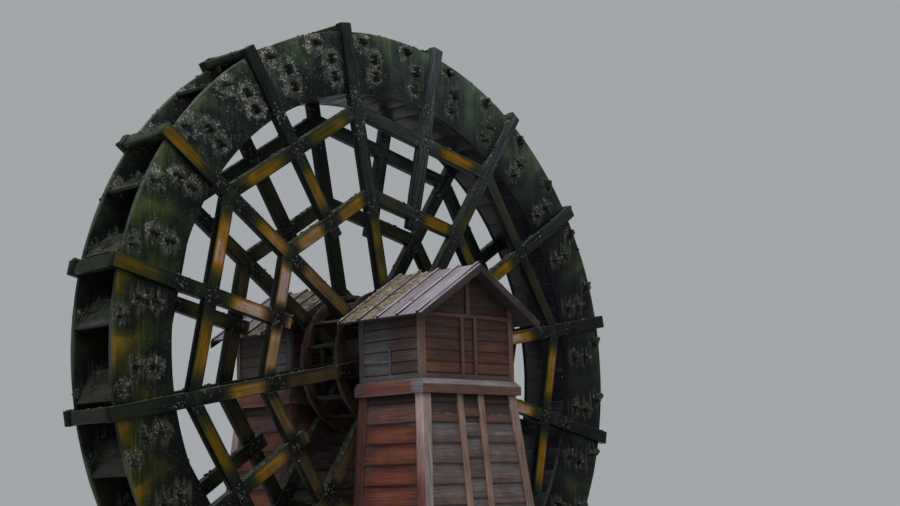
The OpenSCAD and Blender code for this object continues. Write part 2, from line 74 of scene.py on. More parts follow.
random.seed(7)

# %% [markdown]
# ## Measures taken from the frame
# Everything on the wheel is placed by its radius from the axle and its angle round it. The
# hub's height is the joint's own place, and the radii are read off the frame's vertices, so
# nothing here has to be kept in step by hand. Sixteen spokes stand on each side, and the
# first one leans a little to the left of upright.

# %% Measure the wheel
HUB = Vector(frame["joints"][0]["pos_m"])
BAYS = 16
BAY = 2 * math.pi / BAYS
WHEEL_TURN = math.radians(-9.9)


def radii(node):
    """The smallest and largest distance of a node's vertices from the axle."""
    found = [math.hypot(v.co.x - HUB.x, v.co.z - HUB.z) for v in frame["nodes"][node].data.vertices]
    return min(found), max(found)


RIM_IN, RIM_OUT = radii("front_rim")
RIM_OUT_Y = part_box("rear_rim")[1].y
print("hub", HUB, "rim", round(RIM_IN, 3), round(RIM_OUT, 3))

# %% [markdown]
# ## The camera
# The camera stands low and to the left of the wheel, and looks up at it. Its place, turn and
# lens were solved from the spokes' ends and the braces' corners, so that every timber falls
# where the eye expects it. A matrix built from three directions is safer here than three
# angles, because each direction can be checked by itself.

# %% Place the camera
LENS_MM = 64.17
SENSOR_MM = 36
SEEN_TO = 400
CAMERA_AT = Vector((-9.821, -10.284, 1.996))
YAW, PITCH, ROLL = (math.radians(angle) for angle in (46.605, 8.503, -1.639))

ahead = Vector((math.sin(YAW) * math.cos(PITCH), math.cos(YAW) * math.cos(PITCH), math.sin(PITCH)))
level_right = Vector((math.cos(YAW), -math.sin(YAW), 0))
level_up = level_right.cross(ahead)
right = math.cos(ROLL) * level_right + math.sin(ROLL) * level_up
up = math.cos(ROLL) * level_up - math.sin(ROLL) * level_right


def stand(name, data):
    """A new object in the scene."""
    thing = bpy.data.objects.new(name, data)
    bpy.context.scene.collection.objects.link(thing)
    return thing


camera = stand("camera", bpy.data.cameras.new("camera"))
camera.data.lens = LENS_MM
camera.data.sensor_width = SENSOR_MM
camera.data.clip_end = SEEN_TO
camera.matrix_world = Matrix((right, up, -ahead)).transposed().to_4x4()
camera.location = CAMERA_AT
bpy.context.scene.camera = camera
print("camera", round((CAMERA_AT - HUB).length, 2), "m from the hub")

# %% [markdown]
# ## Colours and nodes
# Colours are given as sRGB hex values, but a shader works in linear light, so one
# function turns them over. Another one adds a node with its settings and its links: a plain
# value is set on the input, and a node or a socket is linked to it.

# %% Helpers for finishes
def linear(hex_colour):
    """A linear RGBA colour from an sRGB hex value."""
    parts = [int(hex_colour[i:i + 2], 16) / 255 for i in (1, 3, 5)]
    return [p / 12.92 if p <= 0.04045 else ((p + 0.055) / 1.055) ** 2.4 for p in parts] + [1]


def per_metre(size_mm):
    """The scale that a pattern needs for spots of a size in millimetres."""
    return 1000 / size_mm


def feed(tree, entry, value):
    """Gives a node's input its value or its link."""
    if isinstance(value, bpy.types.Node):
        value = next(output for output in value.outputs if output.enabled)
    if isinstance(value, bpy.types.NodeSocket):
        tree.links.new(value, entry)
    else:
        entry.default_value = linear(value) if isinstance(value, str) else value


# What a second word after a node's kind sets
MODE = {"Math": "operation", "VectorMath": "operation", "Mix": "data_type", "Mapping": "vector_type",
        "MapRange": "interpolation_type", "TexWhiteNoise": "noise_dimensions"}


def adder(tree):
    """The function that adds a node to one tree."""
    def add(kind, *values, **settings):
        """Adds a node of a kind and mode. Values and links go to its inputs in order, and
        settings are inputs or properties by name."""
        kind, *mode = kind.split()
        node = tree.nodes.new("ShaderNode" + kind)
        if mode:
            setattr(node, MODE[kind], mode[0])
        for entry, value in zip([entry for entry in node.inputs if entry.enabled], values):
            feed(tree, entry, value)
        for name, value in settings.items():
            if name in node.inputs:
                feed(tree, node.inputs[name], value)
            else:
                setattr(node, name, value)
        return node
    return add


print("the colours black and white:", linear("#000000"), linear("#ffffff"))

# %% [markdown]
# ## The stage
# Plain studio surroundings: a pale level floor, a pale surround that lights everything
# softly, and one wide lamp overhead, as on an overcast day, with a weaker one near the camera.
# The wheel is wet, so the lamps also draw its pale glints.

# %% Build the stage
FLOOR_HALF = 40
MIDDLE = Vector((0, 0, 3))

bpy.ops.object.select_all(action="DESELECT")
bpy.ops.mesh.primitive_plane_add(size=2 * FLOOR_HALF, location=(0, 0, 0))
floor = bpy.context.object
floor.name = "floor"

plaster = bpy.data.materials.new("pale_plaster_floor")
world = bpy.data.worlds.new("soft_studio")
for shading, surface, values in ((plaster, "Principled BSDF", {"Base Color": "#d8d7d3", "Roughness": 0.9}),
                                 (world, "Background", {"Color": "#dfe3e6", "Strength": 0.5})):
    shading.use_nodes = True
    for name, value in values.items():
        feed(shading.node_tree, shading.node_tree.nodes[surface].inputs[name], value)
floor.data.materials.append(plaster)
bpy.context.scene.world = world


def soft_lamp(name, place, size, watts):
    """A square lamp that faces the middle of the wheel."""
    lamp = stand(name, bpy.data.lights.new(name, "AREA"))
    lamp.data.size = size
    lamp.data.energy = watts
    lamp.location = place
    lamp.rotation_euler = (MIDDLE - Vector(place)).to_track_quat("-Z", "Y").to_euler()


soft_lamp("sky_lamp", (-3, -5, 13), size=16, watts=1500)
soft_lamp("fill_lamp", (-11, -7, 6), size=7, watts=90)
bpy.context.scene.view_settings.view_transform = "Standard"
print("stage: a floor of", 2 * FLOOR_HALF, "m and two lamps")

# %% [markdown]
# ## Sums of masks and coats of colour
# A finish works out masks from 0 to 1, such as how far a face looks up, and lays colours over
# each other by them. Three small functions say that in the words of the trade, and a fourth
# one reads where a point lies or which way its face looks.

# %% Weigh, multiply and coat
def weigh(add, start, *parts):
    """A start value plus parts times their weights."""
    for part, weight in parts:
        start = add("Math MULTIPLY_ADD", part, weight, start)
    return start


def product(add, first, *masks):
    """What is left where all masks hold together."""
    for mask in masks:
        first = add("Math MULTIPLY", first, mask)
    return first


def coats(add, colour, *layers):
    """Coats laid over a colour in turn, each a mask and the coat's colour."""
    for mask, coat in layers:
        colour = add("Mix RGBA", mask, colour, coat)
    return colour


def parts_of(add, what):
    """The x, y and z of a point's place, Object, or of the way its face looks, Normal."""
    return add("SeparateXYZ", add("TexCoord").outputs[what]).outputs


# %% [markdown]
# ## Coordinates that follow each timber
# The wheel's timbers lie in sixteen directions, and a finish has to run along each of them.
# Object coordinates are centred on the hub and turned so that the first spoke is upright.
# Then the angle round the hub is folded: every timber of a ring is brought to the upright
# direction, and the folded place gives how far a point lies along and across its timber.

# %% Fold the wheel into one timber
def fold(add, parts, phase=0.0):
    """Folds the wheel into a number of alike parts. Returns the place along the folded
    tangent, the place along the folded radius, the place along the axle and the part's number."""
    turned = add("Mapping TEXTURE", add("TexCoord").outputs["Object"], HUB, (0, WHEEL_TURN, 0))
    x, depth, z = add("SeparateXYZ", turned).outputs
    step = 2 * math.pi / parts
    turns = add("Math DIVIDE", add("Math ARCTAN2", x, z), step)
    number = add("Math ROUND", add("Math SUBTRACT", turns, phase))
    off = product(add, add("Math SUBTRACT", turns, add("Math ADD", number, phase)), step)
    radius = add("VectorMath LENGTH", add("CombineXYZ", x, 0, z))
    tangent, radial = (product(add, radius, add("Math " + way, off)) for way in ("SINE", "COSINE"))
    return tangent, radial, depth, number


print("the wheel folds into", BAYS, "bays of", round(math.degrees(BAY), 1), "degrees")

# %% [markdown]
# ## Wood grain
# Grain is a noise pattern stretched along the timber: a few millimetres across, and about
# four tenths of a metre long. A coarser pattern with the same stretch gives the wider bands
# of early and late wood. The part's own number shifts the pattern, so that no two boards
# carry the same grain.

# %% Wood grain from timber coordinates
GRAIN_MM = 7
BAND_MM = 38
GRAIN_LONG_MM = 420
SHIFT_PER_PART = 13.7


def grain(add, along, across, depth, number=0.0):
    """Two stretched patterns, fine fibres and wider bands, from 0 to 1."""
    long_way = weigh(add, product(add, number, SHIFT_PER_PART), (along, per_metre(GRAIN_LONG_MM)))
    found = []
    for width in (GRAIN_MM, BAND_MM):
        wide, deep = (product(add, way, per_metre(width)) for way in (across, depth))
        found.append(add("TexNoise", add("CombineXYZ", wide, long_way, deep), 1.0, 5.0, 0.6))
    return found


print("fibres are", GRAIN_MM, "mm wide and", GRAIN_LONG_MM, "mm long")

# %% [markdown]
# ## One way to end every finish
# Each finish below mixes its own colours and then ends the same way: a colour, a roughness
# and a height go to the shader. The height comes in millimetres, so a bump of 1.5 mm looks
# like 1.5 mm. A thin clear coat stands for the wet film on soaked timber.

# %% End a finish
MILLIMETRE = 0.001


def finish(name, build, coat=0.0, coat_roughness=0.2, specular=0.5, metallic=0.0):
    """A material whose colour, roughness and height in mm come from build(add)."""
    material = bpy.data.materials.new(name)
    material.use_nodes = True
    tree = material.node_tree
    add = adder(tree)
    colour, rough, height = build(add)
    bump = add("Bump", Height=height, Distance=MILLIMETRE)
    values = {"Base Color": colour, "Roughness": rough, "Normal": bump, "Metallic": metallic,
              "Coat Weight": coat, "Coat Roughness": coat_roughness, "Specular IOR Level": specular}
    for entry, value in values.items():
        feed(tree, tree.nodes["Principled BSDF"].inputs[entry], value)
    return material


# %% [markdown]
# ## Blends of colour
# Most finishes below work out one value, such as how thick the algae grows, and then walk
# through a few colours along it. The same node with hard steps is a table of amounts, which
# is read by a timber's number.

# %% Colours along a value, and amounts by number
FOUR_STOPS = (0.0, 0.35, 0.65, 1.0)


def ramp(add, value, stops):
    """A walk along a value through stops, each a place from 0 to 1 and a linear colour."""
    node = add("ValToRGB", value)
    marks = node.color_ramp.elements
    while len(marks) < len(stops):
        marks.new(0.5)
    for mark, (place, colour) in zip(marks, stops):
        mark.position = place
        mark.color = colour
    return node


def blend(add, value, colours, places=FOUR_STOPS):
    """Hex colours, given in one line of text, at places along a value."""
    return ramp(add, value, [(place, linear(colour)) for place, colour in zip(places, colours.split())])


def by_number(add, number, amounts):
    """Up to three amounts for each timber, read by its number, as separate sockets."""
    count = len(amounts)
    wrapped = add("Math FLOORED_MODULO", number, count)
    table = ramp(add, weigh(add, 0.5 / count, (wrapped, 1 / count)),
                 [(index / count, (*row, 1)) for index, row in enumerate(amounts)])
    table.color_ramp.interpolation = "CONSTANT"
    return add("SeparateColor", table).outputs


# %% [markdown]
# ## Soaked oak with algae, for spokes and braces
# Sawn oak that has been soaked for years is nearly black, with a green film. Where the film
# thins, between the joints, it turns olive and then ochre, and in a few places pale bare wood
# shows. How far that goes differs from timber to timber, so every stretch has an amount from
# 0 to 1, listed clockwise from the top spoke. Each line holds a quarter of the wheel.

# %% Amounts of algae, clockwise from the top
# By the hub, between the braces, and over the rim
SPOKE_ALGAE = (
    (0.5, 0.1, 0.08), (0.05, 0.15, 0.05), (0.2, 0.4, 0.1), (0.3, 0.75, 0.1),
    (0.3, 0.85, 0.1), (0.3, 0.95, 0.1), (0.4, 0.6, 0.25), (0.3, 0.5, 0.2),
    (0.5, 0.7, 0.25), (0.5, 0.4, 0.2), (0.5, 0.6, 0.25), (0.55, 0.75, 0.1),
    (0.4, 0.76, 0.25), (1, 0.96, 0.45), (0.6, 0.8, 0.66), (0.25, 0.62, 0.05),
)
# On the inner and the outer brace that follow each spoke
BRACE_ALGAE = (
    (0.3, 0.15, 0), (0.68, 0.74, 0), (0.55, 0.35, 0), (0.3, 0.3, 0),
    (0.35, 0.82, 0), (0.4, 0.75, 0), (0.5, 0.5, 0), (0.4, 0.6, 0),
    (0.6, 0.65, 0), (0.5, 0.6, 0), (0.45, 0.4, 0), (0.6, 0.56, 0),
    (0.88, 0.66, 0), (1, 0.85, 0), (0.82, 0.66, 0), (0.78, 0.55, 0),
)
print("stretches with their own amount:", 3 * len(SPOKE_ALGAE) + 2 * len(BRACE_ALGAE))

# %% [markdown]
# The way a face looks decides part of the rest. Algae grows on the broad faces that look out
# along the axle, and whatever looks up turns paler, partly with silt that settles there and
# partly with a painted highlight from above.

# %% Faces that look out or up
def outward(add, inner=0.45):
    """How far a face looks out along the axle, from 1 on such faces to 0 on the others, and
    an inner amount on the faces that look along the axle into the wheel."""
    normal = parts_of(add, "Normal")[1]
    towards = product(add, normal, add("Math SIGN", parts_of(add, "Object")[1]))
    flat = add("MapRange", add("Math ABSOLUTE", normal), 0.7, 0.95)
    return product(add, flat, add("MapRange", towards, -0.3, 0.3, inner, 1.0))


def top_light_and_silt(add, colour, pale, low=0.25, high=0.8):
    """Paler faces that look up: partly silt and moss dust, partly a painted highlight from above."""
    level = add("MapRange", parts_of(add, "Normal")[2], low, high)
    broken = add("TexNoise", add("TexCoord").outputs["Object"], per_metre(45), 4.0, 0.7)
    return coats(add, colour, (product(add, level, add("MapRange", broken, 0.35, 0.62)), pale))


# %% [markdown]
# The distance to the nearest joint decides the rest, because joints stay wet. A spoke's
# joints are at known radii. A half brace runs from the short spoke in its middle to the long
# spoke at its end, which the folded coordinates give at once.

# %% Places on spokes and braces
SPOKE_W = 0.12
INNER_AT, OUTER_AT = (radii(node)[0] + SPOKE_W / 2 for node in ("front_inner_braces", "front_outer_braces"))
HOOP_AT = 0.58


def apart_from(add, place, joints):
    """The distance from a place to the nearest of some joints."""
    nearest = 1.0
    for joint in joints:
        nearest = add("Math MINIMUM", nearest, add("Math ABSOLUTE", add("Math SUBTRACT", place, joint)))
    return nearest


def on_spoke(add):
    """The places along, across and through a spoke, its number and its upper side's angle,
    the place beside its middle, the distance to a joint, and its amount of algae."""
    tangent, radial, depth, number = fold(add, BAYS)
    amount, middle, rim = by_number(add, number, SPOKE_ALGAE)
    for start, here in ((INNER_AT, middle), ((OUTER_AT + RIM_IN) / 2, rim)):
        amount = add("Mix", add("Math GREATER_THAN", radial, start), amount, here)
    angle = weigh(add, WHEEL_TURN + math.pi, (number, BAY))
    apart = apart_from(add, radial, [HOOP_AT, INNER_AT, OUTER_AT, RIM_IN])
    return radial, tangent, depth, number, angle, tangent, apart, amount


def on_brace(add):
    """The same for a brace."""
    along, across, depth, part = fold(add, BAYS // 2, 0.5)
    inner, outer, _ = by_number(add, fold(add, BAYS, 0.5)[3], BRACE_ALGAE)
    is_outer = add("Math GREATER_THAN", across, (INNER_AT + OUTER_AT) / 2)
    angle = weigh(add, WHEEL_TURN + math.pi / 2 + BAY, (part, 2 * BAY))
    beside = add("Math SUBTRACT", across, add("Mix", is_outer, INNER_AT, OUTER_AT))
    to_short = add("Math ABSOLUTE", along)
    to_long = add("Math SUBTRACT", product(add, across, math.tan(BAY)), to_short)
    apart = add("Math MINIMUM", to_short, to_long)
    return along, across, depth, part, angle, beside, apart, add("Mix", is_outer, inner, outer)


print("braces cross the spokes at", round(INNER_AT, 3), "and", round(OUTER_AT, 3), "m")

# %% [markdown]
# High on the wheel's right a painted sky reflection makes the fibres pale, low by the hub the
# oak dries to a plain brown, and pale flecks gather at the joints. Where algae is thick the
# surface is smooth.

# %% Soaked oak with algae
ALGAE_STOPS = (0.02, 0.18, 0.33, 0.45, 0.58, 0.7, 0.8, 0.88, 0.97)
ALGAE_COLOURS = "#0c0f0e #141a11 #20250f #312e09 #4a3a04 #5f4503 #745204 #805a30 #917e75"


def algae_timber(name, on_timber):
    """Soaked oak whose algae follows the amounts above."""
    def build(add):
        along, across, depth, part, angle, beside, apart, amount = on_timber(add)
        beside = add("Math ABSOLUTE", weigh(add, beside, (add("Math SINE", angle), 0.012)))
        fine, bands = grain(add, along, across, depth, part)
        place = add("TexCoord").outputs["Object"]
        x, _, z = parts_of(add, "Object")
        patch = add("TexNoise", place, per_metre(240), 5.0, 0.6)
        near_hub = add("MapRange", fold(add, BAYS)[1], 1.9, 1.2)
        free = add("MapRange SMOOTHSTEP", apart, 0.04, add("MapRange", near_hub, 0.0, 1.0, 0.3, 0.14))
        core = add("MapRange", beside, 0.064, 0.036, 0.5, 1.0)
        grown = product(add, amount, free, core, outward(add))
        tone = weigh(add, -0.51, (patch, 0.62), (bands, 0.4), (grown, 1.0))
        brown = blend(add, tone, "#14110e #27201a #45362a #664d39 #7f6c62", (0.02, 0.2, 0.45, 0.7, 0.95))
        left_low = weigh(add, x, (add("Math SUBTRACT", z, HUB.z), 0.5))
        dry = product(add, add("MapRange", left_low, 0.4, -0.6), near_hub, 0.65)
        high = add("MapRange", z, HUB.z + 1.0, HUB.z + 2.6)
        # Painted sky reflection: pale bands along the fibres, high on the wheel's right
        painted_light = product(add, add("MapRange", fine, 0.38, 0.58), high, add("MapRange", grown, 0.5, 0.1),
                      add("MapRange", x, -0.6, 0.3, 0.1, 0.95))
        colour = coats(add, blend(add, tone, ALGAE_COLOURS, ALGAE_STOPS), (dry, brown), (painted_light, "#424b4d"))
        flecks = add("TexNoise", place, per_metre(25), 5.0, 0.7)
        flecks = weigh(add, flecks, (add("MapRange", apart, 0.24, 0.04), 0.12), (high, 0.03))
        flecks = add("MapRange", flecks, 0.7, 0.77)
        colour = coats(add, top_light_and_silt(add, colour, "#494f42"), (flecks, "#6f746d"))
        dull = add("MapRange", fine, 0.35, 0.65, 0.6, 1.25)
        height = weigh(add, product(add, patch, 2.0), (fine, 1.8), (flecks, 2.0))
        return add("VectorMath SCALE", colour, dull), add("MapRange", tone, 0.1, 0.6, 0.38, 0.65), height
    return finish(name, build, coat=0.02, coat_roughness=0.15, specular=0.08)


spoke_oak = algae_timber("soaked_oak_spokes", on_spoke)
brace_oak = algae_timber("soaked_oak_braces", on_brace)
print("finishes:", spoke_oak.name, brace_oak.name)

# %% [markdown]
# ## Mossy rim boards
# The rims' wide boards carry the most growth: a smooth green film with olive and yellow
# patches, long dark and grey streaks, and crusts round the tenons, where the wet dries. The
# wheel mostly stands, so the streaks are upright with the wheel at rest. The tenons' places
# repeat thirty-two times round the wheel, and folded coordinates need only three. Each board
# between two spokes has its own amounts of ochre, of crust, and of painted shade at its inner
# edge.

# %% Amounts and places on the rims
TENONS = [Vector(place) for place in ((-0.095, 2.846), (0.053, 2.690), (0.050, 2.535))]
# Ochre, crust and painted shade at the inner edge of the board that follows each spoke
RIM_GROWTH = (
    (0, 0.95, 0.2), (0, 0.8, 0.1), (0, 0.6, 0.4), (0.35, 0.35, 0.8),
    (0, 0.25, 1), (0.4, 0.3, 1), (0.2, 0.4, 0.9), (0.3, 0.5, 0.6),
    (0.5, 0.5, 0.4), (0.6, 0.5, 0.4), (0.8, 0.5, 0.6), (1, 0.55, 0.8),
    (0.75, 0.6, 0.5), (0.1, 0.7, 0.3), (0, 0.85, 0.4), (0, 0.85, 1),
)


def tenon_distance(add):
    """The distance to the nearest tenon, in the wheel's plane."""
    here = add("CombineXYZ", *fold(add, 2 * BAYS, 0.5)[:2], 0.0)
    near = 1.0
    for tenon in TENONS:
        near = add("Math MINIMUM", near, add("VectorMath DISTANCE", here, (*tenon, 0)))
    return near


print("boards with their own growth:", len(RIM_GROWTH))

# %% [markdown]
# The film's thickness is one value, and five walks of colour are laid over each other along
# it: green, ochre, a dark one low on the right that is painted shade, a mossy one towards the
# top, and a lit one high on the right that is painted light.
# Over them lie the crusts: a dark ground with pale crumbs on it.

# %% Mossy rim boards
def rim_film(add, tone, ochre, high, x, z):
    """The rim's film: its colour without streaks and crusts."""
    green = blend(add, tone, "#070a08 #0e130c #182010 #232c13 #2e3718 #3b4425", (0, 0.3, 0.5, 0.68, 0.85, 1))
    yellow = blend(add, tone, "#0e120a #232509 #3c3507 #574305 #6d4f05", (0.3, 0.5, 0.68, 0.85, 1.0))
    dark = blend(add, tone, "#07090b #101417 #192119 #272c14", (0.1, 0.5, 0.75, 1.0))
    mossy = blend(add, tone, "#0d1114 #161c1c #222b22 #2d3b24 #4b5038", (0.05, 0.3, 0.5, 0.68, 0.95))
    lit = blend(add, tone, "#232a2c #2f3835 #3b4539 #47533f #5f6353", (0.05, 0.3, 0.5, 0.7, 0.95))
    # Painted shade, low on the right
    shaded = product(add, add("MapRange", weigh(add, x, (z, -0.55)), -2.6, -0.4),
                     add("MapRange", ochre, 0.0, 0.5, 1.0, 0.3))
    # Painted light, high on the right
    lit_side = product(add, high, add("MapRange", x, -0.2, 0.5, 0.0, 0.9))
    return coats(add, green, (ochre, yellow), (shaded, dark), (high, mossy), (lit_side, lit))


def build_rim(add):
    """Mossy oak: its film with painted light and shade, streaks below the tenons, crusts, painted glint
    specks and silt.
    """
    place = add("TexCoord").outputs["Object"]
    x, _, z = parts_of(add, "Object")
    tangent, radial, depth, number = fold(add, BAYS, 0.5)
    ochre, crusted, painted_light = by_number(add, number, RIM_GROWTH)
    from_tenon = tenon_distance(add)
    fine = grain(add, tangent, radial, depth, number)[0]
    film = add("TexNoise", place, per_metre(430), 4.0, 0.55)
    upright = add("Mapping", place, Scale=(per_metre(38), per_metre(38), per_metre(450)))
    streaks = add("TexNoise", upright, 1.0, 5.0, 0.6)
    crumbs = add("TexNoise", place, per_metre(12.5), 3.0, 0.6)

    outer = add("MapRange", radial, RIM_IN + 0.02, RIM_OUT - 0.12)
    between = add("MapRange SMOOTHSTEP", from_tenon, 0.08, 0.26, -0.1, 0.1)
    tone = weigh(add, product(add, streaks, 0.35), (film, 0.85), (outer, 0.12))
    tone = add("MapRange", add("Math ADD", tone, between), 0.47, 0.95)
    # Painted shade: darker towards the inner edge, by each board's amount
    painted_inner_edge_shade = product(add, add("MapRange", radial, RIM_IN + 0.34, RIM_IN + 0.06), painted_light)
    tone = weigh(add, tone, (painted_inner_edge_shade, -0.42))
    ochre = product(add, ochre, outward(add), add("MapRange", radial, RIM_IN + 0.1, RIM_OUT - 0.14))
    left_up = add("Math ADD", add("MapRange", x, 0.0, -2.5, 0.0, 0.75), z)
    high = add("MapRange", left_up, HUB.z + 1.5, HUB.z + 2.7, 0.0, 0.9)
    # Painted shade on faces that do not look out along the axle
    painted_shade_on_turned_faces = add("MapRange", outward(add, 0.0), 0.0, 1.0, 0.75, 0.0)
    # Painted highlight: a thin pale line along the rim's outer edge
    painted_outer_edge_highlight = add("MapRange", radial, RIM_OUT - 0.022, RIM_OUT - 0.006, 0.0, 0.5)
    below = product(add, add("MapRange", from_tenon, 0.3, 0.08), streaks)
    below = add("MapRange", below, 0.42, 0.62, 0.0, 0.4)
    colour = coats(add, rim_film(add, tone, ochre, high, x, z), (painted_shade_on_turned_faces, "#15191a"), (painted_outer_edge_highlight, "#485342"),
                   (below, "#4f554d"))

    by_tenon = add("MapRange SMOOTHSTEP", from_tenon, 0.17, 0.03)
    dry_side = product(add, high, add("MapRange", x, 0.4, -1.2))
    crust = add("TexNoise", place, per_metre(42), 7.0, 0.75)
    crust = weigh(add, crust, (by_tenon, 0.24), (film, 0.16), (dry_side, 0.13), (crusted, 0.14))
    crust = add("MapRange", crust, 0.86, 0.99)
    # Painted glints: fine pale specks, as of light on water drops, a few more high up
    glint_and_moss_specks = add("MapRange", weigh(add, crumbs, (high, 0.04)), 0.63, 0.72, 0.0, 0.5)
    colour = coats(add, colour, (product(add, crust, 0.6), "#181d1d"), (glint_and_moss_specks, "#5f675d"))
    crust = product(add, crust, add("MapRange", crumbs, 0.46, 0.6, 0.1, 1.0))
    ground = add("TexNoise", place, per_metre(110), 3.0, 0.5)
    dry = blend(add, ground, "#4a5049 #868c85 #a8a79f #8a7048", (0.35, 0.5, 0.62, 0.7))
    colour = top_light_and_silt(add, coats(add, colour, (crust, dry)), "#586050", 0.15, 0.6)
    height = weigh(add, product(add, crust, 3.0), (film, 4.0), (fine, 1.6), (streaks, 2.5))
    return colour, add("MapRange", crust, 0.0, 1.0, 0.38, 0.85), height


rim_oak = finish("mossy_oak_rims", build_rim, coat=0.02, specular=0.08)
print("finish:", rim_oak.name)

# %% [markdown]
# ## Dark wet boards, for soles, buckets and ties
# Inside the wheel nothing dries, so the boards are nearly black, with brown where they are
# washed clean, and grey on faces that look up, partly silt and partly a painted highlight.
# Their grain runs along the axle.

# %% Dark wet boards
def wet_boards(name, colours, pale, level=0.25):
    """Boards whose grain runs along the axle, in four colours from dark to light. Silt and a
    painted top light lie on faces that are at least so level."""
    def build(add):
        tangent, radial, depth, number = fold(add, 4 * BAYS, 0.5)
        fine, bands = grain(add, depth, tangent, radial, number)
        patch = add("TexNoise", add("TexCoord").outputs["Object"], per_metre(200), 6.0, 0.65)
        tone = weigh(add, add("Math ADD", bands, patch), (add("TexWhiteNoise 1D", number), 0.22))
        colour = blend(add, add("MapRange", tone, 0.75, 1.5), colours, (0.0, 0.4, 0.7, 1.0))
        colour = top_light_and_silt(add, colour, pale, level, level + 0.5)
        colour = add("VectorMath SCALE", colour, add("MapRange", fine, 0.35, 0.65, 0.6, 1.25))
        height = weigh(add, product(add, patch, 3.0), (fine, 1.8))
        return colour, add("MapRange", patch, 0.3, 0.7, 0.28, 0.6), height
    return finish(name, build, coat=0.08, specular=0.2)


bucket_oak = wet_boards("wet_oak_buckets", "#0e1110 #171a15 #262920 #42453b", "#454940")
sole_oak = wet_boards("wet_oak_soles", "#0a090e #16131c #27222e #443f49", "#454641")
tie_oak = wet_boards("wet_oak_ties", "#080b08 #121a0e #212a15 #434a3a", "#4a5240", 0.6)
hub_oak = wet_boards("wet_oak_hub", "#0b0908 #191310 #2c221c #4b4039", "#544d44")
print("finishes:", bucket_oak.name, sole_oak.name, tie_oak.name, hub_oak.name)

# %% [markdown]
# ## Hub hoops, iron, crusts and moss
# The two hoops by the hub stay drier, so they keep a reddish brown. Their boards are sawn to a
# curve, and their grain follows the ring. The gudgeons are cast iron, dark with orange rust in
# its pits. The crusts are what grows and dries round the tenons: moss that lime and silt have
# turned grey. The wedges are split from oak, paler than the boards they hold.

# %% Reddish hoops, iron gudgeons, crusts and moss
def build_hoop(add):
    """Reddish boards whose grain follows the ring."""
    tangent, radial, depth, number = fold(add, BAYS // 2, 0.5)
    fine, bands = grain(add, tangent, radial, depth, number)
    patch = add("TexNoise", add("TexCoord").outputs["Object"], per_metre(165), 5.0, 0.6)
    tone = product(add, add("Math ADD", bands, patch), 0.5)
    colour = blend(add, tone, "#14100f #241a17 #3b281f #503a2f", (0.36, 0.46, 0.56, 0.66))
    return colour, 0.5, weigh(add, patch, (fine, 1.6))


def build_iron(add):
    """Dark cast iron with rust in its pits."""
    pits = add("TexNoise", add("TexCoord").outputs["Object"], per_metre(17), 5.0, 0.6)
    return blend(add, pits, "#2b2927 #5a3420", (0.45, 0.6)), add("MapRange", pits, 0.45, 0.6, 0.35, 0.8), pits


def build_wedge(add):
    """Split oak, paler along its fibres."""
    x, y, z = parts_of(add, "Object")
    fine, bands = grain(add, x, z, y)
    return blend(add, bands, "#14140e #36331f #6f6747", (0.3, 0.5, 0.7)), 0.7, fine


def crumbly(name, colours, stops, ground_mm=90, crumb_mm=8, detail=3, rough=0.95, rise_mm=5, specular=0.2):
    """Moss or crust: mottled, full of crumbs, and about as rough as a surface can be."""
    def build(add):
        place = add("TexCoord").outputs["Object"]
        ground = add("TexNoise", place, per_metre(ground_mm), 3.0, 0.6)
        crumbs = add("TexNoise", place, per_metre(crumb_mm), detail, 0.7)
        tone = product(add, add("Math ADD", ground, crumbs), 0.5)
        return blend(add, tone, colours, stops), rough, product(add, crumbs, rise_mm)
    return finish(name, build, specular=specular)


green_moss = crumbly("green_moss_tufts", "#10140d #262c1b #4a4f3d #818272", (0.38, 0.48, 0.56, 0.66))
gold_moss = crumbly("golden_roof_moss", "#3d362d #615645 #90846b #c4bda3", (0.38, 0.46, 0.54, 0.62))
wedge_wood = finish("split_oak_wedges", build_wedge, specular=0.3)
hoop_oak = finish("damp_oak_hoops", build_hoop, coat=0.05, specular=0.25)
cast_iron = finish("rusty_cast_iron", build_iron, metallic=0.85)
dry_crust = crumbly("limed_moss_crust", "#0e110d #20241c #42463c #70746b #7f6c4c",
                    (0.36, 0.46, 0.54, 0.62, 0.7), ground_mm=70, crumb_mm=11, detail=4, rough=0.9,
                    rise_mm=6, specular=0.3)
print("finishes:", hoop_oak.name, cast_iron.name, dry_crust.name, green_moss.name, gold_moss.name)

# %% [markdown]
# ## Weathered house timber
# The houses stand clear of the wheel, so their timber is dry: red brown where the stain has
# lasted and grey where sun and rain have taken it. One function gathers what every house
# finish needs: the grain along the timber, a slow patchiness, a chance value for each board,
# and how far down its own face a point of a lapped board lies.

# %% Patterns for house timber
def patterns(add, run, board=0.0, top=0.0):
    """The place, facing and patterns at a spot, by name. run is the grain's direction, level,
    upright or slope, and board and top are the lapped boards' pitch and upper edge."""
    at = SimpleNamespace()
    at.place = add("TexCoord").outputs["Object"]
    at.x, y, at.z = parts_of(add, "Object")
    at.right, normal_y, at.up = parts_of(add, "Normal")
    at.out = add("Math ABSOLUTE", y)
    at.side = add("Math GREATER_THAN", add("Math ABSOLUTE", at.right), add("Math ABSOLUTE", normal_y))
    at.face = add("Math SUBTRACT", 1.0, at.side)
    level = add("Mix", at.side, at.x, y)
    along, across = {"level": (level, at.z), "upright": (at.z, level), "slope": (at.x, y)}[run]
    number = product(add, at.side, 31.0)
    if board:
        boards = add("Math DIVIDE", add("Math SUBTRACT", top, at.z), board)
        at.share = add("Math FRACT", boards)
        number = add("Math ADD", add("Math FLOOR", boards), number)
    number = weigh(add, number, (add("Math SIGN", y), 7.0))
    at.fine, at.bands = grain(add, along, across, 0.0, number)
    at.luck = add("TexWhiteNoise 1D", number)
    at.patch = add("TexNoise", at.place, per_metre(300), 6.0, 0.62)
    return at


